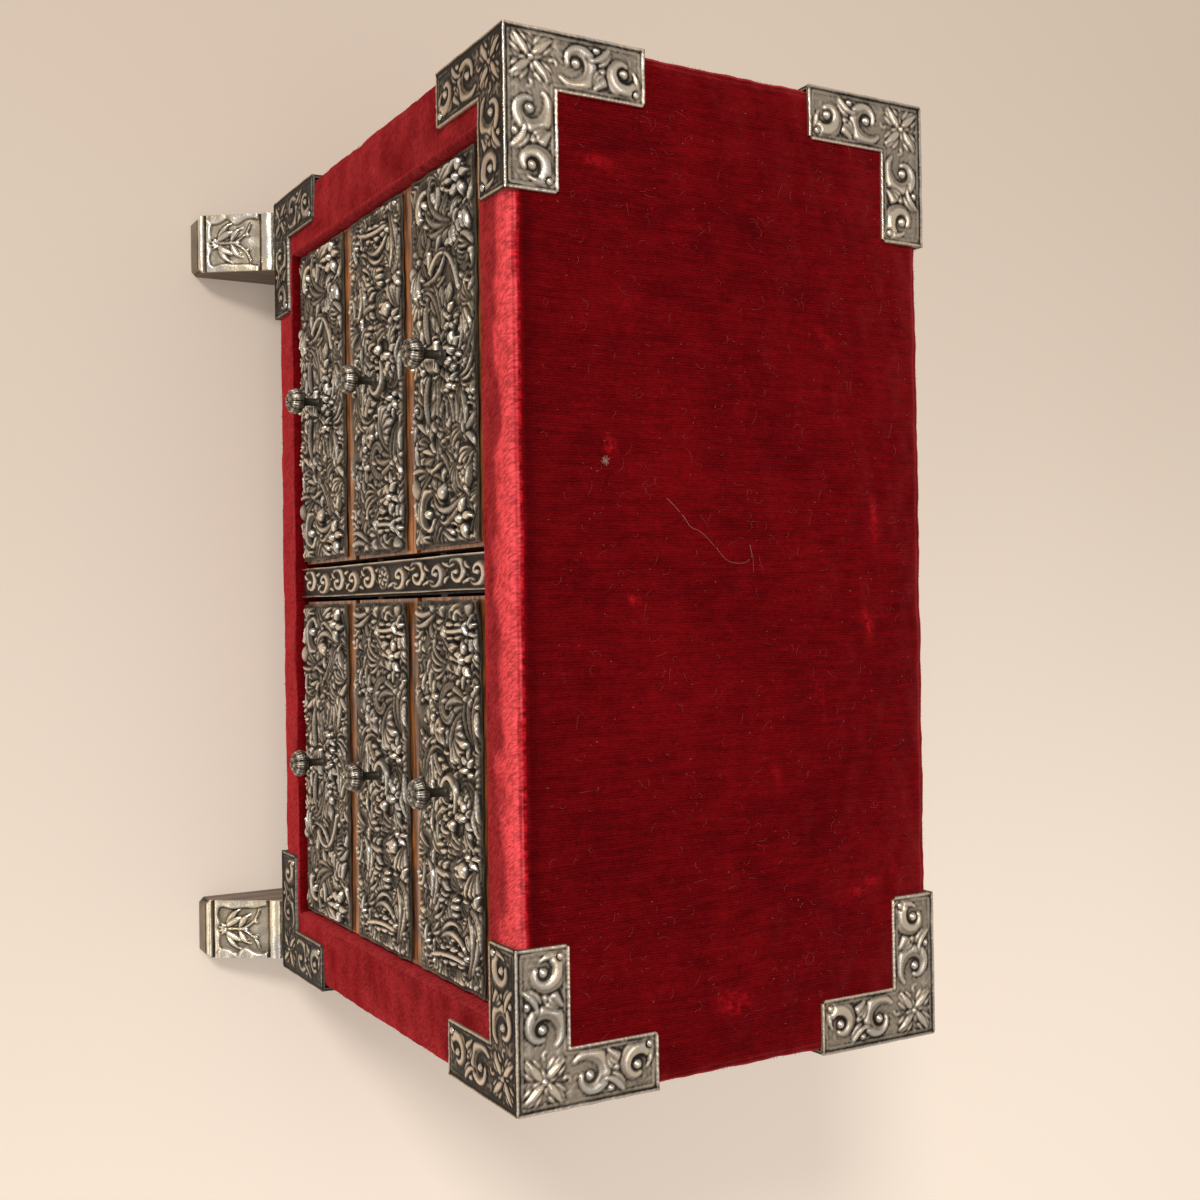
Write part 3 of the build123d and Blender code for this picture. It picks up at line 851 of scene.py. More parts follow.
def grain_group() -> Tree:
    """Wood grain along one axis, turned on faces that look sideways, with pores and patches of grime.

    Returns:
        The effect.
    """
    tree, w, into, out = group(
        "Grain",
        [
            ("Vector", "Vector", None),
            ("Light", "Color", (0.3, 0.12, 0.04, 1)),
            ("Dark", "Color", (0.08, 0.03, 0.01, 1)),
            ("Soot", "Float", 0.3),
        ],
        [("Color", "Color"), ("Roughness", "Float"), ("Height", "Float")],
    )
    along = into.outputs["Vector"]
    x, y, z = w.add("ShaderNodeSeparateXYZ", {0: along}).outputs
    turned = w.add("ShaderNodeCombineXYZ", {0: y, 1: x, 2: z}).outputs[0]
    normal = w.add("ShaderNodeNewGeometry").outputs["Normal"]
    sideways = w.add("ShaderNodeSeparateXYZ", {0: normal}).outputs[0]
    side = w.math("GREATER_THAN", w.math("ABSOLUTE", sideways), 0.7)
    at = w.add("ShaderNodeMix", {0: side, 4: along, 5: turned}, data_type="VECTOR").outputs[1]
    bands = w.noise(at, 260.0, 5.0, 0.6, (0.07, 1, 1))
    pores = w.noise(at, 1500.0, 2.0, 0.5, (0.05, 1, 1))
    grime = w.noise(at, 60.0, 5.0, 0.65)
    colour = w.mix(w.span(bands, 0.36, 0.66), into.outputs["Dark"], into.outputs["Light"])
    colour = w.mix(w.math("MULTIPLY", w.span(pores, 0.6, 0.75), 0.55), colour, into.outputs["Dark"])
    colour = w.mix(
        w.math("MULTIPLY", w.span(grime, 0.45, 0.7), into.outputs["Soot"]), colour, (0.02, 0.012, 0.008, 1)
    )
    w.feed(out, {"Color": colour})
    w.feed(out, {"Roughness": w.span(bands, 0.3, 0.7, 0.5, 0.34)})
    w.feed(out, {"Height": w.math("SUBTRACT", bands, w.math("MULTIPLY", pores, 0.5))})
    return tree


def pile_group() -> Tree:
    """Silk pile: rows of the weave, brushed patches and rubbed spots.

    Returns:
        The effect.
    """
    tree, w, into, out = group(
        "Pile",
        [
            ("Vector", "Vector", None),
            ("Deep", "Color", None),
            ("Lit", "Color", None),
            ("Rubbed", "Color", None),
        ],
        [("Color", "Color"), ("Height", "Float")],
    )
    at = into.outputs["Vector"]
    stir = w.add("ShaderNodeTexNoise", {"Vector": at, "Scale": 55.0, "Detail": 2.0})
    stir = w.add("ShaderNodeVectorMath", {0: stir.outputs["Color"], 3: 0.0012}, operation="SCALE")
    bent = w.add("ShaderNodeVectorMath", {0: at, 1: stir.outputs[0]}, operation="ADD").outputs[0]
    ribs = {"Vector": bent, "Scale": 460.0, "Distortion": 3.5, "Detail": 2.0, "Detail Scale": 0.8}
    weave = w.add("ShaderNodeTexWave", ribs, bands_direction="X").outputs["Fac"]
    rows = w.math(
        "ADD",
        w.math("MULTIPLY", weave, 0.27),
        w.math("MULTIPLY", w.noise(bent, 1000.0, 2.0, 0.5, (1, 0.08, 1)), 0.73),
    )
    pile = w.noise(at, 2300.0, 3.0, 0.7)
    brushed = w.noise(at, 30.0, 6.0, 0.66, (1, 0.8, 1))
    patches = w.noise(at, 120.0, 4.0, 0.65)
    tone = w.math("ADD", w.math("MULTIPLY", rows, 0.5), w.math("MULTIPLY", pile, 0.6))
    tone = w.math("ADD", tone, w.math("MULTIPLY", brushed, 0.4))
    tone = w.math("ADD", tone, w.math("MULTIPLY", patches, 0.3))
    colour = w.mix(w.span(tone, 0.66, 1.14), into.outputs["Deep"], into.outputs["Lit"])
    worn = w.math("MULTIPLY", w.span(w.noise(at, 52.0, 5.0, 0.7), 0.6, 0.78), w.span(pile, 0.4, 0.65))
    colour = w.mix(w.math("MULTIPLY", worn, 0.5), colour, into.outputs["Rubbed"])
    w.feed(out, {"Color": colour})
    w.feed(out, {"Height": w.math("ADD", w.math("MULTIPLY", rows, 0.6), w.math("ADD", pile, patches))})
    return tree


def surface(name: str) -> tuple[Material, Wiring, Node, Socket]:
    """Starts a material.

    Args:
        name: Its name.

    Returns:
        The material, its wiring, its shader and the object coordinates.
    """
    material = bpy.data.materials.new(name)
    material.use_nodes = True
    w = Wiring(material.node_tree)
    shader = material.node_tree.nodes["Principled BSDF"]
    at = w.add("ShaderNodeTexCoord").outputs["Object"]
    return material, w, shader, at


@dataclass(frozen=True)
class Silver:
    """Chased silver with its patina."""

    name: str
    hollow: Colour = (0.014, 0.012, 0.01, 1)
    ground: Colour = (0.17, 0.15, 0.125, 1)
    rubbed: Colour = (0.88, 0.78, 0.64, 1)
    wear: float = 0.0
    pressed: bool = True

    def make(self, patina: Tree) -> Material:
        """Builds the material.

        Args:
            patina: The shared patina.

        Returns:
            The material.
        """
        material, w, shader, at = surface(self.name)
        ports = {
            "Vector": at,
            "Hollow": self.hollow,
            "Ground": self.ground,
            "Rubbed": self.rubbed,
            "Wear": self.wear,
        }
        if self.pressed:
            ports["Crest"] = w.add("ShaderNodeAttribute", attribute_name="crest").outputs["Fac"]
        effect = w.effect(patina, ports)
        w.feed(shader, {"Base Color": effect.outputs["Color"]})
        w.feed(shader, {key: effect.outputs[key] for key in ("Roughness", "Metallic")})
        w.dent(shader, effect.outputs["Height"], 0.35, 0.00012)
        return material


@dataclass(frozen=True)
class Wood:
    """Bare or polished wood."""

    name: str
    light: Colour
    dark: Colour
    soot: float = 0.3
    coat: float = 0.0
    fine: float = 1.0
    # painted_shade_from: height in metres above which the light tone is painted darker, as painted shade.
    painted_shade_from: float = 1.0

    def make(self, grain: Tree) -> Material:
        """Builds the material.

        Args:
            grain: The shared grain.

        Returns:
            The material.
        """
        material, w, shader, at = surface(self.name)
        # Painted shade: above painted_shade_from the light tone is mixed most of the way to dark.
        high = w.add("ShaderNodeSeparateXYZ", {0: at}).outputs[2]
        light = w.mix(
            w.math("MULTIPLY", w.span(high, self.painted_shade_from, self.painted_shade_from + 0.0015), 0.8),
            self.light,
            self.dark,
        )
        at = w.add("ShaderNodeVectorMath", {0: at, 3: self.fine}, operation="SCALE").outputs[0]
        effect = w.effect(grain, {"Vector": at, "Light": light, "Dark": self.dark, "Soot": self.soot})
        w.feed(shader, {"Base Color": effect.outputs["Color"], "Roughness": effect.outputs["Roughness"]})
        w.feed(shader, {"Coat Weight": self.coat, "Coat Roughness": 0.25})
        w.dent(shader, effect.outputs["Height"], 0.4, 0.0002)
        return material


@dataclass(frozen=True)
class Velvet:
    """Crimson silk velvet."""

    name: str = "crimson_velvet"
    deep: Colour = (0.06, 0.0016, 0.0026, 1)
    lit: Colour = (0.17, 0.0034, 0.0052, 1)
    rubbed: Colour = (0.5, 0.009, 0.016, 1)
    # painted_grazing_sheen: lighter red for faces seen at a grazing angle, a painted sheen.
    painted_grazing_sheen: Colour = (0.28, 0.03, 0.033, 1)
    # combed_pile_highlight: pile laid over the edges, with a painted highlight where it catches the light.
    combed_pile_highlight: Colour = (0.72, 0.076, 0.085, 1)
    # shadow: painted shade colour, used beside the bright edge and beside the opening.
    shadow: Colour = (0.03, 0.0008, 0.0012, 1)
    sheen: Colour = (1.0, 0.03, 0.04, 1)

    def make(self, pile: Tree) -> Material:
        """Builds the material.

        Args:
            pile: The shared pile.

        Returns:
            The material.
        """
        material, w, shader, at = surface(self.name)
        effect = w.effect(pile, {"Vector": at, "Deep": self.deep, "Lit": self.lit, "Rubbed": self.rubbed})
        # Painted sheen: the base colour turns lighter red as the face turns away from the view.
        facing = w.add("ShaderNodeLayerWeight", {"Blend": 0.5}).outputs["Facing"]
        edge = w.add("ShaderNodeAttribute", attribute_name="edge").outputs["Fac"]
        painted_grazing_sheen = w.mix(w.span(facing, 0.2, 0.72), effect.outputs["Color"], self.painted_grazing_sheen)
        normal = w.add("ShaderNodeNewGeometry").outputs["Normal"]
        level = w.add("ShaderNodeSeparateXYZ", {0: normal}).outputs[2]
        flat = w.span(level, 0.9, 0.99)
        threadbare = w.math("MULTIPLY", flat, w.span(w.noise(at, 620.0, 4.0, 0.7), 0.38, 0.6, 0.15, 1.0))
        colour = w.mix(w.math("MULTIPLY", w.span(edge, 0.0, 0.5), threadbare), painted_grazing_sheen, self.rubbed)
        # Painted highlight along the edges, where the laid pile catches the light, kept off the flat top.
        colour = w.mix(
            w.span(w.math("ADD", edge, w.math("MULTIPLY", flat, -0.45)), 0.0, 0.75), colour, self.combed_pile_highlight
        )
        # Painted shade where the edge mark is below zero.
        colour = w.mix(w.span(edge, 0.0, -1.0), colour, self.shadow)
        leaning = w.add("ShaderNodeMapping", {"Vector": at, "Rotation": (0.5, 0.55, 0.3)}).outputs[0]
        strokes = w.math(
            "ADD",
            w.math("MULTIPLY", w.noise(leaning, 1900.0, 3.0, 0.6, (1, 0.3, 0.3)), 0.7),
            w.math("MULTIPLY", w.noise(at, 170.0, 4.0, 0.7), 0.3),
        )
        depth = w.span(w.math("SUBTRACT", level, w.math("MAXIMUM", edge, 0.0)), 0.5, 0.95, 0.42, 0.16)
        shade = w.math("ADD", 1.0, w.math("MULTIPLY", w.span(strokes, 0.36, 0.64, -1.0, 0.85), depth))
        grey = w.add("ShaderNodeCombineColor", {0: shade, 1: shade, 2: shade}).outputs[0]
        colour = w.mix(1.0, colour, grey, "MULTIPLY")
        w.feed(shader, {"Base Color": colour})
        w.feed(shader, {"Roughness": 0.9, "Specular IOR Level": 0.0})
        w.feed(shader, {"Sheen Weight": 0.5, "Sheen Roughness": 0.4, "Sheen Tint": self.sheen})
        w.dent(shader, effect.outputs["Height"], 0.55, 0.0004)
        return material


def dress(obj: Piece, material: Material, body: str, slot: str, *nodes: str) -> None:
    """Gives a new piece its finish and its body, and hides the nodes that it stands for.

    Args:
        obj: The piece.
        material: Its finish.
        body: The body that it rides on.
        slot: Not used.
        nodes: The nodes that it stands for.
    """
    obj.data.materials.clear()
    obj.data.materials.append(material)
    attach(obj, body)
    if nodes:
        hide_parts(*nodes)
    log.info("%s: %d faces", obj.name, len(obj.data.polygons))


@dataclass
class DrawerFronts:
    """The chased sheets on the six drawers."""

    width: float = 97.0
    height: float = 39.45
    inner_x: float = 6.9
    ground_y: float = -60.1
    lows: tuple[float, float, float] = (39.85, 86.02, 132.18)
    skirt: float = 0.1
    wreathed: tuple[str, ...] = ("lower_left_drawer", "lower_right_drawer", "upper_left_drawer")

    def sheet(self, seed: int) -> Relief:
        """An empty sheet with a swirling ground.

        Args:
            seed: Seed of the ground.

        Returns:
            The sheet.
        """
        relief = Relief(self.width, self.height, seed=seed)
        relief.swirl(1.15, 2.3, 0.9, seed)
        return relief

    def close(self, r: Relief) -> Relief:
        """Fills what is still low and raises the border of the sheet.

        Args:
            r: The sheet with its main forms.

        Returns:
            The finished sheet.
        """
        r.thicket(34, 7.6, 1.7, 0.75)
        r.thicket(14, 4.0, 1.2, 0.3)
        r.h *= np.clip(np.minimum.reduce([r.u, r.width - r.u, r.v, r.height - r.v]) / 1.4, 0.15, 1)
        r.outline(np.array([[0, 0], [r.width, 0], [r.width, r.height], [0, r.height]]), 0.25, 0.3, 0.35)
        return r.finish(0.03, 0.37, 0.3, 0.52)

    def cartouche(self, seed: int) -> Relief:
        """An oval wreath with an urn of flowers, between great scrolls and fruit.

        Args:
            seed: Seed of the ground.

        Returns:
            The sheet with its ornament.
        """
        r = self.sheet(seed)
        w, h = self.width, self.height
        mid = h / 2 + 0.5
        for hand, x in ((1, 0.0), (-1, w)):
            r.volute((x + hand * 8.5, 11.5), 7.5, math.pi / 2 + hand * 0.4, -hand * 6.2, 1.7, 2.4)
            r.volute((x + hand * 17.5, h - 8.5), 6.6, -math.pi / 2, hand * 6.0, 1.5, 2.3)
            r.leaf((x + hand * 19.5, 3.0), math.pi / 2 - hand * 0.1, 19, hand * 0.8, 6.5, 2.1, 4)
            r.rosette((x + hand * 6.2, h - 8.0), 4.6, 5, 2.7, 0.3)
            r.dome((x + hand * 14.0, 20.0), (2.6, 2.2), 2.7, 0.5)
            r.tuft((x + hand * 3.5, 19.0), math.pi / 2 - hand * 0.3, 15, hand * 1.3, 1.1, 2.3)
            r.tuft((x + hand * 22.5, h - 2.0), -math.pi / 2 - hand * 0.2, 13, -hand * 1.4, 1.0, 2.2)
        for k in range(7):
            x = w / 2 + (k - 3) * 8.2
            r.scroll((x - 3.5, 1.2), 0.9, 12, (-1) ** k * 6.0, 0.85, 1.9, 1)
            r.plume((x, h - 1.0), -math.pi / 2 + 0.9 * (-1) ** k, 8.5, (-1) ** k * -1.5, 1.25, 1.8)
        r.dome((w / 2, mid), (27, 14.0), 0.35, 0, 0.2)
        angle = np.linspace(0, FULL_TURN, 61)
        for k in range(18):
            at = FULL_TURN * k / 18 + 0.1
            point = (w / 2 + 27.5 * math.cos(at), mid + 14.6 * math.sin(at))
            way = math.atan2(15 * math.cos(at), -27.5 * math.sin(at))
            r.plume(point, way + 0.45, 8.5, 0.5, 1.15, 2.1)
            r.plume(point, way - 0.35, 7.5, -0.7, 1.0, 1.9)
        oval = np.c_[w / 2 + 26.0 * np.cos(angle), mid + 13.0 * np.sin(angle)]
        r.ridge(oval, (0.6,), (1.7,), Crown.ROUND, 0.8)
        for side in (-1, 1):
            for reach, lean in ((13, 0.4), (17, 0.95), (20, 1.4)):
                way = math.pi / 2 - side * lean
                r.leaf((w / 2 + side, 17.0), way, reach, -side * 0.7, reach * 0.32, 1.7, 4)
            r.rosette((w / 2 + side * 8.5, 25.5), 3.6, 5, 2.3, 0.4 * side)
            r.dome((w / 2 + side * 17.5, 16), (2.2, 1.8), 2.1, 0.4)
            r.swag((w / 2 + side * 3, 12), (w / 2 + side * 17, 11.5), 2.4, 1.3, 1.6)
        r.urn((w / 2, 7.8), 6.8, 2.2)
        r.rosette((w / 2, 27), 4.4, 6, 2.6)
        r.shell((w / 2, h - 5.8), math.pi / 2, 5.2, 2.2)
        return self.close(r)

    def frieze(self, seed: int) -> Relief:
        """Tall plants, urns and shells over a ledge, with running scrolls below.

        Args:
            seed: Seed of the ground.

        Returns:
            The sheet with its ornament.
        """
        r = self.sheet(seed)
        w, h = self.width, self.height
        for k in range(6):
            x, side = 9 + (w - 16) * k / 5, (-1) ** k
            r.scroll((x - 7.5, 5.0 - side * 2.2), side * 0.75, 21, -side * 7.6, 1.0, 2.0)
        for k in range(5):
            r.tuft((3 + k * 21, h - 2.5), -0.5, 17, 1.2, 1.1, 1.9)
            r.tuft((12 + k * 21, h - 9.0), 0.3, 14, -1.4, 1.0, 1.9, 3)
        for x, size, lean in ((6.5, 23, 0.4), (24, 25, 0.5), (63, 23, -0.45), (75, 25, 0.5), (91, 22, -0.4)):
            r.spray((x, 11.5), math.pi / 2 - lean / 2, size, lean, 2.5)
        plants = ((15, 1.75, 18, -0.6), (40, 0.75, 18, 1.2), (57, 2.3, 18, -1.2), (69, 1.4, 16, 0.6))
        for x, way, size, turn in plants:
            r.leaf((x, 12), way, size, turn, 6.0, 2.2, 4)
        r.urn((33, 12), 7.4, 2.5)
        r.shell((33, 23.5), math.pi / 2, 8.6, 2.5, 9)
        r.urn((83, 12), 6.2, 2.4)
        r.cluster((83, 23.5), 2.3, 2.7, 7)
        r.volute((49, 20.5), 6.0, 0.4, 6.0, 1.3, 2.5)
        for x, y, size in ((15, 31.5, 4.2), (54, 31.5, 4.0), (42, 33, 3.6), (90, 33.5, 3.4)):
            r.rosette((x, y), size, 5, 2.7, 0.3 * x)
        for x, y in ((8, 20), (25, 33.5), (67, 30), (57, 22.5), (76, 34)):
            r.dome((x, y), (2.4, 2.0), 2.7, 0.1 * x)
            r.tuft((x + 1.5, y - 1.0), -0.8, 7, -1.5, 0.7, 2.1)
        ledge = np.linspace(0, w, 40)
        path = np.c_[ledge, 10.3 + 0.5 * waves(ledge[:, None], 8, seed)]
        heights = tuple(1.4 + 0.4 * waves(ledge[:, None], 3, seed))
        r.ridge(path, (0.5,), heights, Crown.ROUND, 0.9)
        return self.close(r)

    def place(self, hand: int, low: float, seed: int, lifted: bool) -> Place:
        """Where the sheet of one drawer lies, slightly buckled, with a lifted corner if asked.

        Args:
            hand: -1 for the left column and 1 for the right one.
            low: Height of the sheet's lower edge, in mm.
            seed: Seed of its buckles.
            lifted: Whether its upper inner corner stands away from the wood.

        Returns:
            The sheet's place.
        """

        def at(u: Array, v: Array, out: Array) -> Array:
            """Places of points of the sheet, in mm.

            Args:
                u: Places across the sheet.
                v: Places up the sheet.
                out: Heights over the sheet.

            Returns:
                One row for each point.
            """
            flat = np.c_[u, v]
            buckle = 0.18 * waves(flat, 26, seed)
            edge = np.minimum(np.minimum(u, self.width - u), np.minimum(v, self.height - v))
            ragged = np.clip(1 - edge / 2.0, 0, 1)
            x = u + ragged * 0.22 * waves(flat, 5, seed + 1)
            z = v + ragged * 0.25 * waves(flat, 5, seed + 2)
            face = out > -self.skirt + 0.01
            proud = np.maximum(out, -self.skirt) + np.where(face, np.clip(buckle * 0.6, -0.05, 1), 0)
            if lifted:
                corner = np.exp(-((u / 5.0) ** 2 + ((self.height - v) / 4.0) ** 2))
                proud += np.where(face, 1.0, 0.75) * corner * 1.3
            return np.c_[hand * (self.inner_x + x), self.ground_y - proud, low + z]

        return at

    def build(self, finish: Material) -> None:
        """Builds the six sheets.

        Args:
            finish: Their silver.
        """
        wreath, plants = self.cartouche(11), self.frieze(23)
        for row, hand, drawer in drawers():
            relief = wreath if drawer in self.wreathed else plants
            where = self.place(hand, self.lows[row], 31 * row + hand + 5, hand > 0 and row > 0)
            sheet = press(f"{drawer}_chased_front", relief, where, self.skirt)
            dress(sheet, finish, drawer, "silver", f"{drawer}_facing")


@dataclass
class CornerMounts:
    """Eight chased mounts, each folded over three faces of a corner."""

    arm: float = 38.4
    width: float = 14.4
    fold: float = 1.0
    sunk: float = 0.38
    half: tuple[float, float] = (125.8, 63.3)
    levels: tuple[float, float] = (22.2, 193.8)
    pins: tuple[float, float] = (11.8, 35.8)
    star: float = 7.3

    def arm_scrolls(self, r: Relief) -> None:
        """Raises two C-scrolls and a leaf between them along one arm.

        Args:
            r: The face, with the arm along its first axis.
        """
        r.volute((19.3, 6.9), 5.4, 2.4, -5.6, 1.7, 0.92)
        r.tuft((24.2, 12.4), -1.1, 9.6, 1.3, 1.05, 0.92, 3)
        r.tuft((28.6, 1.8), 2.0, 7.8, 1.4, 0.95, 0.9, 2)
        r.plume((25.4, 7.6), 0.2, 3.6, -1.4, 0.7, 0.75)
        r.dome((25.0, 3.0), (0.9, 0.7), 0.9)
        r.volute((32.4, 7.3), 5.4, -0.5, 5.5, 1.85, 0.95)
        r.plume((36.6, 11.5), -1.7, 5.6, -0.5, 0.7, 0.75)

    def ornament(self, seed: int, seam: Array | None = None) -> Relief:
        """A star of leaves in the corner and scrolls along both arms, or a bare face.

        Args:
            seed: Seed of its unevenness.
            seam: Heights along the folds of the chased face that a bare face meets.

        Returns:
            The ornament.
        """
        r = Relief(self.arm, self.arm, 0.26, seed)
        a, b, c = self.arm, self.width, self.star
        if seam is None:
            r.swirl(0.16, 1.3, 0.12, seed)
            self.arm_scrolls(r)
            r.h = np.maximum(r.h, r.h.T)
            for k in range(4):
                way = math.pi / 4 + k * math.pi / 2
                root = (c + 1.5 * math.cos(way), c + 1.5 * math.sin(way))
                for side in (-1, 1):
                    r.tuft(root, way + side * 0.5, 6.2, -side * 1.1, 0.7, 0.72, 2)
                r.plume((c, c), way, 7.2, 0.3, 1.1, 0.85)
                r.plume((c, c), way + math.pi / 4, 3.6, -0.9, 0.5, 0.5)
                out = (c + 5.2 * math.cos(way + math.pi / 4), c + 5.2 * math.sin(way + math.pi / 4))
                r.ridge(sweep(out, way, 2.6, 2.6), (0.35, 0.3), (0.5, 0.4), Crown.GROOVED)
            r.dome((c, c), (0.8, 0.8), 0.9)
        shape = np.array([[0, 0], [a, 0], [a, b], [b, b], [b, a], [0, a]], float)
        r.outline(shape, 0.4, 0.38, 0.62, 0.3)
        r.outline(shape, 1.5, 0.22, 0.3)
        fold, along = np.minimum(r.u, r.v), np.maximum(r.u, r.v)
        bead = 0.72 + 0.1 * np.cos(FULL_TURN * along / 1.1)
        r.h = np.maximum(r.h, bead * np.exp(-((fold / 0.5) ** 2)))
        for at in (self.pins, self.pins[::-1]):
            away = np.hypot(r.u - at[0], r.v - at[1])
            r.h *= 1 - np.clip((1.5 - away) / 0.4, 0, 1)
        r.finish(0.02, 0.46, 0.3, 0.34)
        edge = np.minimum.reduce([fold, a - along, np.where(along > b + 0.9, b - fold, 9.0)])
        r.crest *= np.where(edge < 0.8, 0.96, 1.0)
        r.h[0] = r.h[:, 0] = (r.h[0] + r.h[:, 0]) / 2 if seam is None else seam
        return r

    def place(self, corner: tuple[int, int, int], axis: int, swap: bool) -> Place:
        """Where one face of a mount lies, wrapped round the folded edges of its corner.

        Args:
            corner: Signs of the corner along each axis.
            axis: The axis that the face looks along.
            swap: Whether across and up change places, to keep the face outwards.

        Returns:
            The face's place.
        """
        x, y, z = corner
        origin = np.array([x * self.half[0], y * self.half[1], self.levels[z > 0]])
        others = [k for k in range(3) if k != axis]
        if swap:
            others.reverse()

        def at(u: Array, v: Array, out: Array) -> Array:
            """Places of points of the sheet, in mm.

            Args:
                u: Places across the sheet.
                v: Places up the sheet.
                out: Heights over the sheet.

            Returns:
                One row for each point.
            """
            inward = np.zeros((len(u), 3))
            inward[:, others[0]], inward[:, others[1]] = u, v
            core = np.maximum(inward, self.fold)
            way = inward - core
            way /= np.maximum(np.linalg.norm(way, axis=1, keepdims=True), 1e-9)
            uneven = 0.05 * waves(origin + inward, 4, 3)
            inward = core + way * (self.fold + out - self.sunk + uneven)[:, None]
            return origin - np.array(corner) * inward

        return at

    def build(self, finishes: dict[str, Material]) -> None:
        """Builds the eight mounts.

        Args:
            finishes: The silver for each name.
        """
        chased = self.ornament(41)
        blank = self.ornament(42, chased.h[0])
        # Painted light: the upper mounts' top faces get a lighter patina, and their other faces a darker one.
        top = replace(chased)
        top.h, top.crest = chased.h, np.clip(chased.crest + 0.1, 0, 1)
        for relief in (chased, blank):
            relief.crest = np.clip(relief.crest - 0.2, 0, 1)

        def keep(u: float, v: float) -> bool:
            """Whether a spot lies on the L, clear of its clipped corners."""
            inside = u < self.width or v < self.width
            clipped = max(u, v) > self.arm - 0.6 and min(u, v) > self.width - 0.8
            return inside and u + v < self.arm + self.width - 1.1 and not clipped

        for x, hand in ((-1, "left"), (1, "right")):
            for y, end in ((-1, "front"), (1, "rear")):
                for z, level in ((-1, "lower"), (1, "upper")):
                    name = f"{level}_{end}_{hand}_mount"
                    faces = []
                    for axis in range(3):
                        relief = blank if axis == 2 and z < 0 else top if axis == 2 else chased
                        where = self.place((x, y, z), axis, (axis + (x * y * z > 0)) % 2 > 0)
                        faces.append(press(f"{name}_{axis}", relief, where, 0.7, keep, True))
                    mount = join(f"{name}_chased", faces)
                    dress(mount, finishes["upper" if z > 0 else "lower"], "cabinet", "silver", name)
        self.pin(finishes["knobs"])

    def pin(self, finish: Material) -> None:
        """Sets a domed pin head in each corner of the arms.

        Args:
            finish: Their silver.
        """
        bm = bmesh.new()
        for x in (-1, 1):
            for y in (-1, 1):
                for z in (-1, 1):
                    for axis in range(3 if z > 0 else 2):
                        for u, v in (self.pins, self.pins[::-1]):
                            face = self.place((x, y, z), axis, False)
                            spot = face(np.array([u]), np.array([v]), np.array([0.25]))[0]
                            at = Matrix.Translation(spot)
                            ball = bmesh.ops.create_uvsphere(
                                bm, u_segments=16, v_segments=10, radius=0.9, matrix=at
                            )
                            head = ball["verts"]
                            squash = [0.7 if k == axis else 1.0 for k in range(3)]
                            bmesh.ops.scale(bm, verts=head, vec=squash, space=Matrix.Translation(-spot))
        bmesh.ops.scale(bm, verts=bm.verts, vec=(MM, MM, MM))
        heads = new_object("mount_pins_domed", bm)
        mark(heads.data, "crest", np.full(len(heads.data.vertices), 0.85))
        dress(heads, finish, "cabinet", "silver", "mount_pins")


def drawers() -> Iterator[tuple[int, int, str]]:
    """Walks over the drawers, from the lowest row up.

    Returns:
        Row, hand (-1 for left, 1 for right) and name of each drawer.
    """
    for row, level in enumerate(("lower", "middle", "upper")):
        for hand, side in ((-1, "left"), (1, "right")):
            yield row, hand, f"{level}_{side}_drawer"


def join(name: str, parts: Sequence[Piece]) -> Piece:
    """Joins pieces into one and merges what touches.

    Args:
        name: Name of the new piece.
        parts: What it is made of, which goes.

    Returns:
        The new piece.
    """
    bm = bmesh.new()
    for part in parts:
        bm.from_mesh(part.data)
        mesh = part.data
        bpy.data.objects.remove(part)
        bpy.data.meshes.remove(mesh)
    bmesh.ops.remove_doubles(bm, verts=bm.verts, dist=2e-6)
    obj = new_object(name, bm)
    obj.data.set_sharp_from_angle(angle=math.radians(80))
    return obj


@dataclass
class CentreStrip:
    """The chased strip between the two columns of drawers."""

    width: float = 9.0
    length: float = 138.1
    low: float = 39.2
    ground_y: float = -60.3
    drawn_out: float = 1.5

    def build(self, finish: Material) -> None:
        """Builds the strip with its running scroll and an oval boss at its middle.

        Args:
            finish: Its silver.
        """
        r = Relief(self.length / self.drawn_out, self.width, 0.22, 51)
        middle = (r.width / 2, r.height / 2)
        for side in (-1, 1):
            for k in range(1, 6):
                x, hand = middle[0] + side * (k * 8.4 - 0.6), side * (-1) ** k
                way = -hand * side * 0.5 + math.pi * (side < 0)
                stem = sweep((x - side * 5.5, 4.5 + hand * 2.6), way, 6.5, hand * side * 1.4)
                r.ridge(stem, (0.5, 0.75, 0.5), (0.8, 1.1, 0.9), Crown.GROOVED)
                r.volute((x, 4.5 + 0.15 * hand), 3.55, hand * 2.4, -hand * 5.6, 1.15, 1.3)
                r.plume((x + side * 3.4, 4.5 + hand * 2.9), -hand * 1.2, 3.0, hand * 1.2, 0.55, 1.0)
        r.dome(middle, (2.6, 3.4), 1.0, 0.0, 0.35)
        r.dome(middle, (1.5, 2.3), 1.35)
        for way in range(6):
            r.plume(middle, way * math.pi / 3 + 0.5, 2.6, 0.8, 0.5, 1.2)
        edge = np.minimum(r.v, self.width - r.v)
        uneven = 0.12 * waves(np.c_[r.u.ravel(), r.v.ravel() > 4], 4, 8).reshape(r.h.shape)
        lips = (1.05 + uneven) * np.exp(-((edge / 0.6) ** 2))
        r.h = np.maximum(r.h * np.clip((edge - 0.6) / 0.4, 0, 1), lips)
        r.finish(0.03, 0.38, 0.24, 0.4)

        def at(u: Array, v: Array, out: Array) -> Array:
            """Places of points of the sheet, in mm.

            Args:
                u: Places across the sheet.
                v: Places up the sheet.
                out: Heights over the sheet.

            Returns:
                One row for each point.
            """
            sway = 0.12 * waves(np.c_[u, u * 0], 14, 5)
            back = np.where(out < -0.5, 6.2, 0.35 - out)
            return np.c_[(self.width / 2 - v) + sway, self.ground_y + back, self.low + u * self.drawn_out]

        strip = press("partition_strip_chased", r, at, 1.0)
        dress(strip, finish, "cabinet", "silver", "partition_strip")


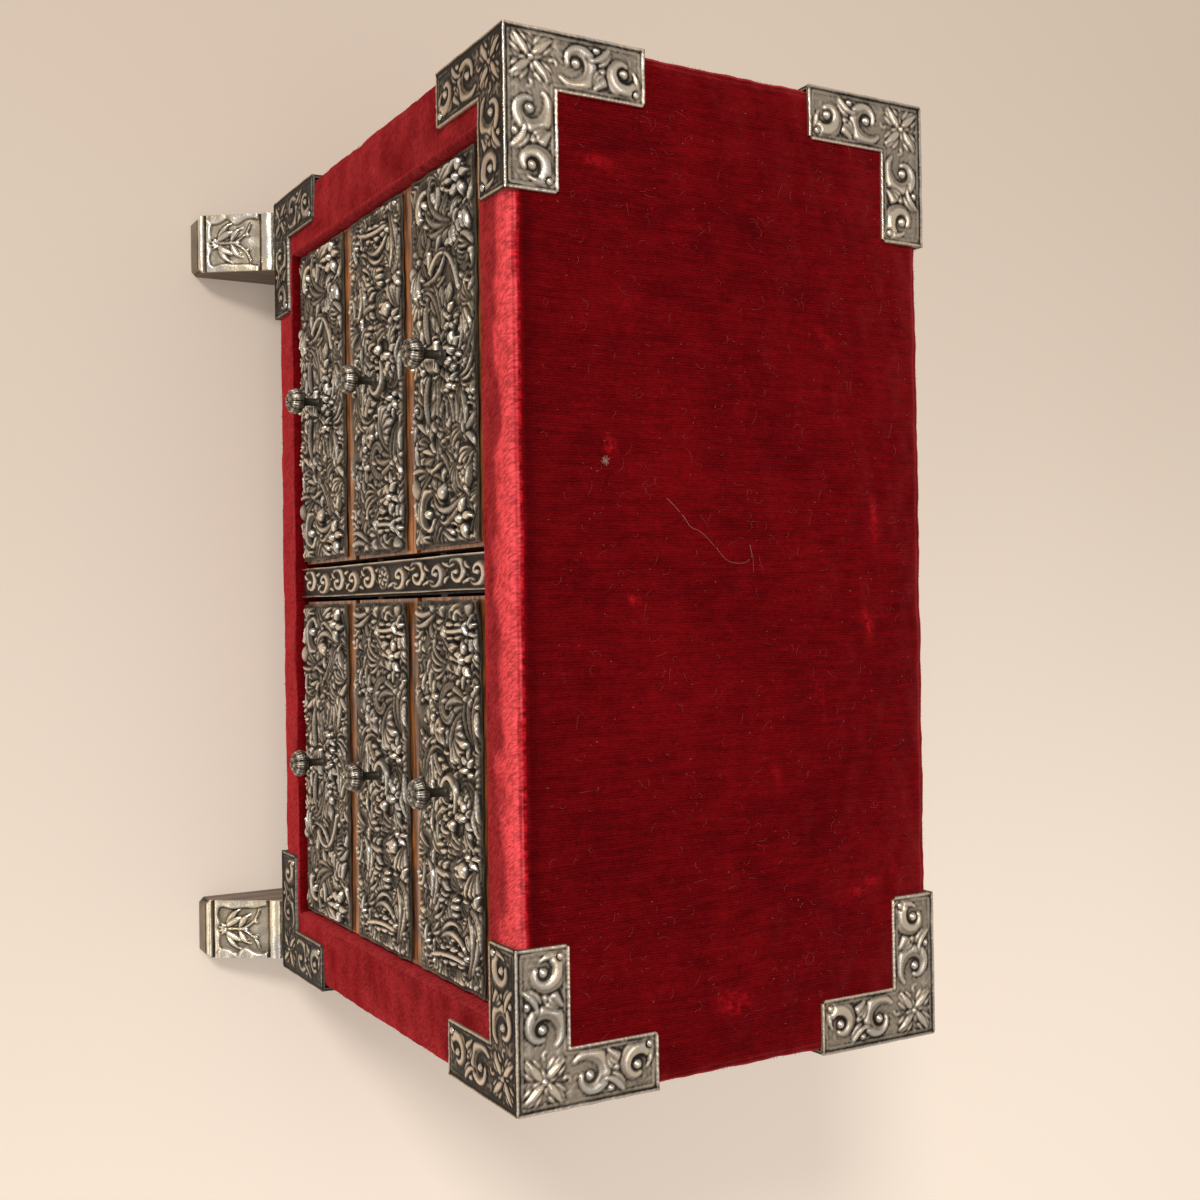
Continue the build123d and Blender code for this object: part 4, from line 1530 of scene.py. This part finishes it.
@dataclass
class FootCasings:
    """The pressed silver over the slope and toe of each foot."""

    outer_x: float = 122.9
    width: float = 18.8
    back: float = 62.5
    top: float = 22.2
    flare: float = 22.3
    toe: float = 6.8
    chamfer: float = 1.6
    neck: float = 2.8
    panel: tuple[float, float] = (5.7, 23.7)
    ridge: float = 25.4

    def ornament(self) -> Relief:
        """A half-round neck, a panel with a plant, a ridge and the plain toe.

        Returns:
            The sheet, from its neck down to the floor.
        """
        slope = math.hypot(self.flare, self.top - self.toe)
        r = Relief(self.width, slope + self.toe, 0.2, 61)
        w, mid = self.width, self.width / 2
        flat = np.c_[r.u.ravel(), r.v.ravel()]
        for side in (-1, 1):
            for start, way, length in ((19.6, 1.2, 8.0), (20.2, 0.65, 9.0), (15.2, 1.15, 6.0)):
                r.plume((mid + side * 0.5, start), -math.pi / 2 + side * way, length, -side * 0.9, 1.0, 0.95)
            stem = sweep((mid, 14.5), -math.pi / 2 + side * 0.35, 9.0, side * 1.0, 1.2, 12)
            r.ridge(stem, (0.36, 0.3), (0.8, 0.9))
            r.dome((mid + side * 2.6, 9.6), (1.0, 0.7), 0.8, side)
        r.ridge(np.array([[mid, 20.5], [mid, 12.5]]), (0.35, 0.3), (0.8, 0.7))
        for way in (-0.9, -0.3, 0.3, 0.9):
            r.plume((mid, 19.6), math.pi / 2 + way, 2.6, -way * 0.5, 0.62, 0.9)
        bank = np.minimum(np.minimum(r.u, w - r.u) - 1.5, 23.6 - r.v - 0.4)
        bank = bank + 1.1 * waves(flat, 3.5, 7).reshape(r.h.shape)
        r.h = np.maximum(r.h, 0.62 * np.clip(1 - bank / 0.8, 0, 1) ** 0.6)
        start, end = self.panel
        r.h *= np.clip((r.v - start) / 0.4, 0, 1) * np.clip((end - r.v) / 0.3, 0, 1)
        neck = np.clip(1 - ((r.v - self.neck) / 2.2) ** 2, 0, 1) ** 0.5 * 1.2
        ridge = np.clip(1 - ((r.v - self.ridge) / 1.1) ** 2, 0, 1) ** 0.5 * 0.9
        r.h = np.maximum(np.maximum(r.h, neck), ridge)
        r.h += 0.05 * waves(flat, 3, 9).reshape(r.h.shape)
        r.finish(0.02, 0.62, 0.34, 0.3)
        r.crest = np.where(neck > 0.05, 0.82, r.crest)
        grooves = np.clip(1 - np.abs(r.v - 5.3) / 0.4, 0, 1) + np.clip(1 - np.abs(r.v - 24.0) / 0.5, 0, 1)
        r.crest = np.where(r.v > slope + 0.2, 0.3, r.crest * (1 - 0.8 * np.clip(grooves, 0, 1)))
        return r

    def place(self, x_hand: int, y_hand: int) -> Place:
        """Where the casing of one foot lies, down the slope and over the toe.

        Args:
            x_hand: -1 on the left and 1 on the right.
            y_hand: -1 at the front and 1 at the rear.

        Returns:
            The casing's place.
        """
        slope = math.hypot(self.flare, self.top - self.toe)
        run, drop = self.flare / slope, (self.top - self.toe) / slope

        def at(u: Array, v: Array, out: Array) -> Array:
            """Places of points of the sheet, in mm.

            Args:
                u: Places across the sheet.
                v: Places up the sheet.
                out: Heights over the sheet.

            Returns:
                One row for each point.
            """
            down = np.minimum(v, slope)
            bend = np.clip((v - slope + 0.8) / 1.6, 0, 1)
            bend = bend * bend * (3 - 2 * bend)
            normal = np.c_[(1 - bend) * drop + bend, (1 - bend) * run]
            normal /= np.linalg.norm(normal, axis=1, keepdims=True)
            forward = self.back + down * run + out * normal[:, 0]
            height = self.top - down * drop - np.maximum(v - slope, 0) + out * normal[:, 1]
            side = np.abs(u - self.width / 2) - (self.width / 2 - self.chamfer)
            forward = np.minimum(forward, self.back + self.flare - np.maximum(side, 0))
            return np.c_[x_hand * (self.outer_x - u), y_hand * forward, np.clip(height, 0, self.top)]

        return at

    def build(self, finish: Material) -> None:
        """Builds the four casings.

        Args:
            finish: Their silver.
        """
        relief = self.ornament()
        for y, end in ((-1, "front"), (1, "rear")):
            for x, hand in ((-1, "left"), (1, "right")):
                node = f"{end}_{hand}_foot_casing"
                casing = press(f"{node}_pressed", relief, self.place(x, y), 0.8)
                dress(casing, finish, "cabinet", "silver", node)


@dataclass
class Knobs:
    """The six turned and chased knobs, each with its nut behind the front board."""

    x: float = 55.2
    heights: tuple[float, float, float] = (60.8, 106.97, 153.13)
    seat_y: float = -61.1
    tip_y: float = -72.3
    head: float = 4.1
    nut_y: float = -50.5

    def profile(self) -> list[tuple[float, float]]:
        """Radius and distance from the seat, from the foot to the tip.

        Returns:
            The points, in mm.
        """
        reach = self.seat_y - self.tip_y
        line = [
            (2.6, 0.0),
            (2.7, 0.4),
            (2.2, 0.9),
            (1.45, 1.3),
            (1.3, 2.2),
            (1.25, 4.4),
            (1.5, 5.2),
            (2.1, 5.6),
            (2.2, 5.9),
            (1.8, 6.2),
            (2.6, 6.5),
        ]
        for k in range(17):
            angle = -0.75 + k * (math.pi / 2 + 0.75) / 16
            line.append((max(self.head * math.cos(angle), 0.0), reach - 2.9 + 2.8 * math.sin(angle)))
        return line

    def build(self, finish: Material) -> None:
        """Builds the knobs.

        Args:
            finish: Their silver.
        """
        for row, hand, drawer in drawers():
            bm = bmesh.new()
            verts = [bm.verts.new((radius, 0, rise)) for radius, rise in self.profile()]
            edges = [bm.edges.new(pair) for pair in zip(verts, verts[1:])]
            around = {"cent": (0, 0, 0), "axis": (0, 0, 1), "angle": FULL_TURN, "steps": 72}
            bmesh.ops.spin(bm, geom=verts + edges, use_merge=True, **around)
            bmesh.ops.remove_doubles(bm, verts=bm.verts, dist=1e-4)
            bmesh.ops.subdivide_edges(bm, edges=bm.edges, cuts=1, use_grid_fill=True)
            bmesh.ops.recalc_face_normals(bm, faces=bm.faces)
            rod = {"segments": 16, "radius1": 1.1, "radius2": 1.1, "depth": 11.0}
            bmesh.ops.create_cone(bm, cap_ends=True, matrix=Matrix.Translation((0, 0, -5.8)), **rod)
            nut = bmesh.ops.create_cube(bm, size=1.0)["verts"]
            bmesh.ops.scale(bm, verts=nut, vec=(5, 5, 2))
            bmesh.ops.translate(bm, verts=nut, vec=(0, 0, self.seat_y - self.nut_y + 1.0))
            knob = new_object(f"{drawer}_knob_chased", bm)
            self.chase(knob, Vector((hand * self.x, self.seat_y, self.heights[row])), 0.35 * row + 0.2 * hand)
            dress(knob, finish, drawer, "silver", f"{drawer}_knob")

    def chase(self, knob: Piece, seat: Vector, turn: float) -> None:
        """Swells the head into leaves and turns the knob to face forward.

        Args:
            knob: The knob, upright at the origin, in mm.
            seat: Where it stands on its drawer.
            turn: How far it is turned on its spindle.
        """
        p = coordinates(knob.data)
        radius, angle = np.hypot(p[:, 0], p[:, 1]), np.arctan2(p[:, 1], p[:, 0]) + turn
        up = np.clip((p[:, 2] - 6.4) / 4.5, 0, 1)
        share = np.clip(radius / self.head, 0, 1)
        outer = np.abs(np.sin(4 * angle + 1.2 * share)) ** 0.55
        inner = np.abs(np.cos(2.5 * angle - 1.5 * share)) ** 0.6
        lobes = np.where(share > 0.6, outer, inner)
        veins = np.cos(16 * angle + 15 * share) * np.cos(16 * angle - 15 * share)
        rings = np.exp(-(((share - 0.62) / 0.06) ** 2)) + np.exp(-(((share - 0.22) / 0.06) ** 2))
        lift = (up > 0) * (radius > 0.2) * (0.4 * (lobes - 0.95) + 0.12 * veins) * share
        p[:, :2] *= (1 + (lift - 0.1) / np.maximum(radius, 0.5))[:, None]
        p[:, 2] += (up > 0.1) * (0.5 * (lobes - 1.0) * (0.25 + 0.75 * share) - 0.45 * rings + 0.1 * veins)
        nut = p[:, 2] < -0.3
        place = np.c_[seat.x + p[:, 0], seat.y - p[:, 2], seat.z + p[:, 1]]
        place[:, 1] = np.where(nut, np.clip(place[:, 1], seat.y, self.nut_y + 1.2), place[:, 1])
        move_to(knob.data, place * MM)
        knob.data.flip_normals()
        crest = np.where(up > 0, 0.5 + 0.5 * (lobes - 0.6) + 0.34 * veins - 0.35 * rings, 0.22)
        mark(knob.data, "crest", np.clip(crest, 0, 1))
        knob.data.set_sharp_from_angle(angle=math.radians(70))


def cloth_rise(p: Array) -> Array:
    """How far the cloth swells at places in mm round the body's middle."""
    return 0.16 * waves(p, 9, 71) + 0.1 * waves(p, 3, 72)


@dataclass
class VelvetCover:
    """The velvet over the whole body, turned into the drawer opening."""

    half: tuple[float, float, float] = BODY_HALF
    middle: float = BODY_MIDDLE
    edge: float = EDGE_RADIUS
    opening: tuple[float, float, float] = (105.0, 39.0, 177.5)
    roll: float = 1.6
    turn_in: float = 8.0
    cells: int = 112
    worn: tuple[tuple[float, ...], ...] = (
        (108, -2.3, 3.0, 1.4, 6.0, 0.32),
        (-96.5, -38, 1.4, 1.5, 6.0, 0.3),
        (-14, 45, 1.2, 0.1, 9.0, 0.3),
        (-20, 48, 1.6, 1.2, 5.0, -0.4),
        (84, 39, 1.3, 2.0, 9.0, 0.3),
        (14, 42.5, 1.5, 0.3, 4.0, 0.35),
        (7.6, -29.5, 1.4, 0.8, 2.5, 0.35),
        (-29, -35.5, 1.8, 0.4, 2.6, 0.4),
        (-60, 30, 2.0, 1.0, 5.0, 0.2),
        (52, 12, 2.0, 0.4, 5.0, 0.18),
    )

    def stations(self, half: float, marks: Spot = ()) -> Array:
        """Even steps of a face turned into places, closer at the edges and on the marks.

        Args:
            half: Half the length of the face, in mm.
            marks: Two places that steps fall on, in mm.

        Returns:
            The places, in mm.
        """
        n = self.cells
        places = [-half, -half + self.edge, *marks, half - self.edge, half]
        steps = [0, 6, 12, n - 12, n - 6, n] if marks else [0, 6, n - 6, n]
        return np.interp(np.arange(n + 1), steps, places)

    def build(self, finish: Material) -> None:
        """Builds the cover.

        Args:
            finish: Its velvet.
        """
        wide, low, high = self.opening
        roll = self.roll
        xs = self.stations(self.half[0], (-wide - roll, wide + roll))
        ys = self.stations(self.half[1])
        zs = self.stations(self.half[2], (low - roll - self.middle, high + roll - self.middle))
        bm = bmesh.new()
        bmesh.ops.create_cube(bm, size=2.0)
        bmesh.ops.subdivide_edges(bm, edges=bm.edges, cuts=self.cells - 1, use_grid_fill=True)
        for vert in bm.verts:
            i, j, k = (round((value + 1) / 2 * self.cells) for value in vert.co)
            vert.co = (xs[i], ys[j], zs[k])
        gone = []
        for face in bm.faces:
            x, y, z = face.calc_center_median()
            in_height = low - roll < z + self.middle < high + roll
            if y < -self.half[1] + 0.01 and abs(x) < wide + roll and in_height:
                gone.append(face)
        bmesh.ops.delete(bm, geom=gone, context="FACES")
        rim = [e for e in bm.edges if e.is_boundary]
        centre = (high + low) / 2 - self.middle
        turns = [(roll * math.sin(a), roll * (1 - math.cos(a))) for a in np.linspace(0, math.pi / 2, 7)]
        turns += [(roll, (roll + self.turn_in) / 2), (roll, self.turn_in)]
        for (inward, depth), (was_in, was_deep) in zip(turns[1:], turns):
            turned = bmesh.ops.extrude_edge_only(bm, edges=rim)["geom"]
            rim = [g for g in turned if isinstance(g, bmesh.types.BMEdge) and g.is_boundary]
            for vert in [g for g in turned if isinstance(g, bmesh.types.BMVert)]:
                if abs(vert.co.x) > wide - 0.05:
                    vert.co.x -= math.copysign(inward - was_in, vert.co.x)
                if abs(vert.co.z - centre) > (high - low) / 2 - 0.05:
                    vert.co.z -= math.copysign(inward - was_in, vert.co.z - centre)
                vert.co.y += depth - was_deep
        cover = new_object("velvet_cover", bm)
        p = coordinates(cover.data)
        edge = self.edge_light_shade_and_wear(p)
        self.round_off(p)
        move_to(cover.data, p * MM)
        # The edge mark holds the painted highlight and painted shade along the edges, and the worn patches on
        # the top.
        mark(cover.data, "edge", edge)
        dress(cover, finish, "cabinet", "velvet", "velvet_wrap", "velvet_front", "velvet_back")

    def edge_light_shade_and_wear(self, p: Array) -> Array:
        """Painted highlight where the pile is laid over an edge and catches the light, painted shade beside
        it, and worn patches.

        Args:
            p: Places in mm, round the body's middle, before the edges are rounded.

        Returns:
            One value for each place: 1 painted highlight or wear, 0 neither, -1 painted shade or a dark
                patch.
        """
        gaps = np.abs(np.abs(p) - np.array(self.half))
        top, front = p[:, 2] > self.half[2] - 0.01, p[:, 1] < -self.half[1] + 0.01
        ragged = 0.35 * waves(p, 7, 75)
        over = np.where(top, gaps[:, 1] / 3.3, gaps[:, 2] / 6.5 * (1 + ragged))
        over = over + 1e3 * ~(top | front) + 1e3 * (top & (p[:, 1] > 0)) + 1e3 * (p[:, 2] < 0)
        # Painted highlight over the rounded front top edge.
        bright = np.exp(-(over**4)) * (0.85 + 0.35 * ragged)
        # Painted shade on the top a few millimetres behind the front edge.
        shade = np.clip(1.15 - np.abs(gaps[:, 1] - 4.0) / (0.8 + 4.0 * (gaps[:, 1] > 4.0)), 0, 1)
        shade = shade * (top & (p[:, 1] < 0))
        # Painted highlight along the front's outer edges.
        rim = 0.2 * np.exp(-((np.minimum(gaps[:, 0], gaps[:, 2]) / 2.2) ** 2)) * front
        # Painted shade on the front beside the sides of the opening.
        rim -= 0.42 * np.clip((np.abs(p[:, 0]) - 103) / 4, 0, 1) * (front & (gaps[:, 2] > 8)) * (1 + ragged)
        worn = np.zeros(len(p))
        for x, y, size, way, length, depth in self.worn:
            a, b = p[:, 0] - x, p[:, 1] - y
            u, v = a * math.cos(way) + b * math.sin(way), b * math.cos(way) - a * math.sin(way)
            worn += depth * np.exp(-((u / length) ** 2) - (v / size) ** 2) * top
        return np.clip(bright + rim + worn - 0.5 * shade, -1, 1)

    def round_off(self, p: Array) -> None:
        """Rounds the edges of the body and lets the cloth swell and sink a little.

        Args:
            p: Places in mm, round the body's middle, changed in place.
        """
        half = np.array(self.half)
        outside = p[:, 1] < -self.half[1] + 1e-3
        wide, low, high = self.opening
        reach = self.roll - 0.01
        inside = p[:, 1] < -self.half[1] + self.turn_in + 0.5
        inside &= np.abs(p[:, 0]) <= wide + reach
        inside &= np.abs(p[:, 2] + self.middle - (low + high) / 2) <= (high - low) / 2 + reach
        core = np.clip(p, -half + self.edge, half - self.edge)
        way = p - core
        size = np.linalg.norm(way, axis=1, keepdims=True)
        way = np.where(size > 1e-6, way / np.maximum(size, 1e-9), 0)
        away = (np.abs(np.abs(p) - half) + 1e3 * (np.abs(way) > 0.5)).min(axis=1)
        soft = cloth_rise(p)
        swell = -0.35 + 0.35 * np.clip(away / 9, 0, 1) + soft
        swell = np.minimum(swell, LARGEST_SWELL)
        rounded = core + way * (self.edge + swell)[:, None]
        p[:] = np.where(inside[:, None] & ~outside[:, None], p, rounded)
        p[:, 2] += self.middle


@dataclass
class Lint:
    """Loose fibres: fuzz along the velvet's edges, lint on its faces and a few curled threads."""

    fuzz: int = 9000
    flecks: int = 420
    threads: int = 460
    under_mounts: float = 37.0

    def strand(self, bm: bmesh.types.BMesh, points: Array, thick: float) -> None:
        """Adds one three-sided strand over the top of the cloth, along points in mm above it.

        Args:
            bm: The mesh that it joins.
            points: Its line.
            thick: Its half thickness at the root, in mm.
        """
        rings, points = [], points.copy()
        top = BODY_HALF[2]
        rise = cloth_rise(np.c_[points[:, :2], np.full(len(points), top)])
        points[:, 2] += BODY_MIDDLE + top + np.minimum(rise, LARGEST_SWELL)
        for k, point in enumerate(points):
            after, before = points[min(k + 1, len(points) - 1)], points[max(k - 1, 0)]
            way = Vector(after - before).normalized()
            side = way.orthogonal().normalized()
            over = way.cross(side)
            size = thick * (1 - 0.6 * k / len(points)) * MM
            centre = Vector(point) * MM
            ways = [side * math.cos(a) + over * math.sin(a) for a in THIRDS]
            rings.append([bm.verts.new(centre + way * size) for way in ways])
        for first, second in zip(rings, rings[1:]):
            for k in range(3):
                bm.faces.new((first[k], first[(k + 1) % 3], second[(k + 1) % 3], second[k]))
        bm.faces.new(rings[0][::-1])
        bm.faces.new(rings[-1])

    def build(self, velvet: Material, pale: Material, faint: Material) -> None:
        """Builds the fuzz and the lint.

        Args:
            velvet: Finish of the fuzz.
            pale: Finish of the specks.
            faint: Finish of the loose threads.
        """
        rng = np.random.default_rng(81)
        bm = bmesh.new()
        half = np.array(BODY_HALF)
        for _ in range(self.fuzz):
            axis, level, depth = rng.integers(3), rng.choice((-1, 1)), rng.choice((-1, 1))
            others = [k for k in range(3) if k != axis]
            spot = rng.uniform(-1, 1, 3) * half
            angle = rng.uniform(0, math.pi / 2)
            way = np.zeros(3)
            way[others[0]], way[others[1]] = level * math.cos(angle), depth * math.sin(angle)
            for k in others:
                spot[k] = math.copysign(half[k] - EDGE_RADIUS, way[k] or 1) + way[k] * 2.95
            if abs(spot[axis]) > half[axis] - self.under_mounts:
                continue
            lean = way + rng.normal(size=3) * 0.45
            tip = spot + lean / np.linalg.norm(lean) * rng.uniform(0.35, 0.95)
            tip = np.clip(tip, -half - 0.75, half + 0.75)
            across = np.cross(lean, rng.normal(size=3))
            across *= 0.045 / max(np.linalg.norm(across), 1e-9)
            spots = [spot + across, spot - across, tip]
            bm.faces.new([bm.verts.new((Vector(s) + Vector((0, 0, BODY_MIDDLE))) * MM) for s in spots])
        fuzz = new_object("velvet_fuzz", bm)
        dress(fuzz, velvet, "cabinet", "velvet")
        top = 0.06
        bm = bmesh.new()
        for _ in range(self.flecks):
            spot = (rng.uniform(-118, 118), rng.uniform(-55, 58))
            line = sweep(spot, rng.uniform(0, FULL_TURN), rng.uniform(0.15, 0.6), rng.normal() * 2.5, 1.0, 3)
            self.strand(bm, np.c_[line, np.full(len(line), top)], rng.uniform(0.02, 0.07))
        fluff, bm = bm, bmesh.new()
        for _ in range(self.threads):
            spot = (rng.uniform(-115, 115), rng.uniform(-55, 55))
            line = sweep(spot, rng.uniform(0, FULL_TURN), rng.uniform(1.2, 4.2), rng.normal() * 3.2, 1.3, 12)
            self.strand(bm, np.c_[line, top + 0.2 * np.sin(np.linspace(0, math.pi, len(line)))], 0.045)
        for k in range(70):
            way, length = rng.uniform(0, FULL_TURN), rng.uniform(0.4, 1.5)
            line = sweep((-25.6, -37.3), way, length, rng.normal() * 2.0, 1.0, 4)
            self.strand(fluff, np.c_[line, top + rng.uniform(0, 0.3) * np.linspace(0, 1, len(line))], 0.05)
        xs = (-18, -13, -10, -9.4, -6, -1.6, -1.2, -3, -7, -2, 1.6)
        ys = (-21, -15.5, -13.5, -10.6, -6.5, -2.4, 2.7, 5.2, 4.2, 5.6, 5.8)
        dense = np.linspace(0, len(xs) - 1, 60)
        hair = np.column_stack([np.interp(dense, range(len(xs)), turns) for turns in (xs, ys)])
        hair = np.array([hair[max(k - 2, 0) : k + 3].mean(0) for k in range(60)])
        self.strand(fluff, np.c_[hair, np.full(len(hair), top)], 0.05)
        specks = new_object("velvet_specks", fluff)
        dress(specks, pale, "cabinet", "velvet")
        lint = new_object("velvet_lint", bm)
        dress(lint, faint, "cabinet", "velvet")


@dataclass(frozen=True)
class Studio:
    """The pale floor, the soft light and the camera."""

    # top and bottom: floor colours at the dark and the light end of its painted shade.
    top: Colour = (0.50, 0.418, 0.345, 1)
    bottom: Colour = (0.80, 0.70, 0.605, 1)
    lamps: tuple[tuple, ...] = (
        ("key", (-1.65, -1.6, 2.45), 54.0, 0.7, (1.0, 0.97, 0.93)),
        ("fill", (0.25, -1.4, 0.5), 1.5, 0.7, (1.0, 0.96, 0.9)),
        ("above", (-0.1, -0.1, 1.5), 4.0, 1.2, (0.98, 0.98, 1.0)),
    )
    glow: Colour = (0.51, 0.478, 0.44, 1)
    horizon: Colour = (0.8, 0.72, 0.64, 1)
    lens: float = 43.97
    eye: tuple[float, float, float] = (0.00998, -0.21242, 0.49405)
    right: tuple[float, float, float] = (0.01416155, 0.86668718, 0.49865097)
    down: tuple[float, float, float] = (0.99987424, -0.00871423, -0.01325026)
    forward: tuple[float, float, float] = (-0.00713847, 0.4987759, -0.86670159)

    def floor(self) -> None:
        """Lays the floor, with painted shade that darkens it towards one side, and a faint glow that lifts
        its shadows.
        """
        bm = bmesh.new()
        bmesh.ops.create_grid(bm, x_segments=1, y_segments=1, size=3.0)
        floor = new_object("floor", bm)
        material, w, shader, at = surface("pale_paper")
        x, y, _ = w.add("ShaderNodeSeparateXYZ", {0: at}).outputs
        # Painted shade: the floor darkens towards -x, and towards both ends in y.
        painted_side_shade = w.math("MULTIPLY", y, w.math("SUBTRACT", 0.2, w.math("MULTIPLY", y, 0.6)))
        soft = w.math("ADD", x, painted_side_shade)
        cloudy = w.math("MULTIPLY", w.math("SUBTRACT", w.noise(at, 3.0, 2.0), 0.5), 0.1)
        soft = w.math("ADD", soft, cloudy)
        tone = w.mix(w.span(soft, -0.32, 0.36), self.top, self.bottom)
        # The floor glows faintly with its own colour, painted light that lifts its shadows.
        w.feed(shader, {"Base Color": tone, "Emission Color": tone, "Emission Strength": 0.3})
        w.feed(shader, {"Roughness": 0.9, "Specular IOR Level": 0.1})
        floor.data.materials.append(material)

    def lamp(
        self, name: str, place: Spot, power: float, size: float, colour: tuple[float, float, float]
    ) -> None:
        """Hangs one soft lamp that faces the cabinet.

        Args:
            name: Its name.
            place: Where it hangs, in metres.
            power: Its power, in watts.
            size: Its width, in metres.
            colour: Its colour.
        """
        light = bpy.data.lights.new(name, "AREA")
        light.shape, light.size, light.energy, light.color = "DISK", size, power, colour
        lamp = bpy.data.objects.new(name, light)
        bpy.context.scene.collection.objects.link(lamp)
        lamp.location = place
        lamp.rotation_euler = (Vector((0, 0, 0.1)) - Vector(place)).to_track_quat("-Z", "Y").to_euler()

    def light(self) -> None:
        """Sets the lamps and the soft light from all round."""
        for row in self.lamps:
            self.lamp(*row)
        world = bpy.data.worlds.new("studio")
        bpy.context.scene.world = world
        world.use_nodes = True
        back = world.node_tree.nodes["Background"]
        w = Wiring(world.node_tree)
        seen = w.add("ShaderNodeLightPath").outputs["Is Camera Ray"]
        w.feed(back, {"Color": w.mix(seen, self.glow, self.horizon), "Strength": 1.0})

    def camera(self) -> None:
        """Stands the camera above the front, rolled a quarter turn."""
        data = bpy.data.cameras.new("camera")
        data.lens, data.sensor_width = self.lens, 36.0
        camera = bpy.data.objects.new("camera", data)
        bpy.context.scene.collection.objects.link(camera)
        turn = Matrix((Vector(self.right), -Vector(self.down), -Vector(self.forward))).transposed()
        camera.matrix_world = Matrix.Translation(self.eye) @ turn.to_4x4()
        bpy.context.scene.camera = camera

    def build(self) -> None:
        """Builds the studio."""
        self.floor()
        self.light()
        self.camera()
        bpy.context.scene.view_settings.view_transform = "Standard"


def dress_nodes(finishes: dict[str, Material]) -> None:
    """Gives every CAD node that stays in view its finish.

    Args:
        finishes: The materials by name.
    """
    for name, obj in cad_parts.items():
        if name.startswith("carcass") or name in ("partition", "left_shelves", "right_shelves"):
            chosen = finishes["carcass"]
        elif name.endswith("front_board"):
            chosen = finishes["front_board"]
        elif name.endswith(("_box", "_bottom")):
            chosen = finishes["drawer_box"]
        elif name.endswith("foot_core"):
            chosen = finishes["foot"]
        elif name.startswith("velvet"):
            chosen = finishes["velvet"]
        else:
            chosen = finishes["plain_silver"]
        obj.data.materials.clear()
        obj.data.materials.append(chosen)


def main() -> None:
    """Builds the cabinet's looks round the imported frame."""
    logging.basicConfig(level=logging.INFO, format="%(message)s")
    patina, grain, pile = patina_group(), grain_group(), pile_group()
    finishes = {
        "fronts": Silver("silver_fronts").make(patina),
        # Painted light: the upper mounts get a lighter ground and brighter highlights than the lower ones.
        "upper": Silver(
            "silver_upper_mounts_painted_lighter", ground=(0.42, 0.35, 0.275, 1), rubbed=(0.9, 0.765, 0.6, 1), wear=-0.03
        ).make(patina),
        "lower": Silver("silver_lower_mounts", wear=0.02).make(patina),
        "strip": Silver("silver_strip", wear=0.06).make(patina),
        "feet": Silver(
            "silver_feet", ground=(0.31, 0.265, 0.2, 1), rubbed=(0.98, 0.86, 0.66, 1), wear=0.1
        ).make(patina),
        "knobs": Silver("silver_knobs").make(patina),
        "plain_silver": Silver("silver_plain", pressed=False, wear=0.25).make(patina),
        # Painted shade: the front boards darken above 171.5 mm, under the velvet's top rim.
        "front_board": Wood(
            "polished_front_board", (0.52, 0.172, 0.032, 1), (0.05, 0.015, 0.006, 1), 0.65, 0.6, 2.4, 0.1715
        ).make(grain),
        "carcass": Wood("carcass_wood", (0.10, 0.05, 0.026, 1), (0.045, 0.022, 0.012, 1), 0.4).make(grain),
        "drawer_box": Wood("drawer_wood", (0.36, 0.22, 0.115, 1), (0.2, 0.11, 0.05, 1), 0.2).make(grain),
        "foot": Wood("foot_wood", (0.14, 0.082, 0.045, 1), (0.085, 0.05, 0.028, 1), 0.2).make(grain),
        "velvet": Velvet().make(pile),
    }
    loose = {"pale_specks": (0.42, 0.2, 0.17, 1), "faint_threads": (0.32, 0.035, 0.04, 1)}
    lint = []
    for name, colour in loose.items():
        material, w, shader, _ = surface(name)
        w.feed(shader, {"Base Color": colour})
        lint.append(material)
    dress_nodes(finishes)
    VelvetCover().build(finishes["velvet"])
    Lint().build(finishes["velvet"], *lint)
    DrawerFronts().build(finishes["fronts"])
    CornerMounts().build(finishes)
    CentreStrip().build(finishes["strip"])
    FootCasings().build(finishes["feet"])
    Knobs().build(finishes["knobs"])
    Studio().build()


if __name__ == "__main__":
    main()
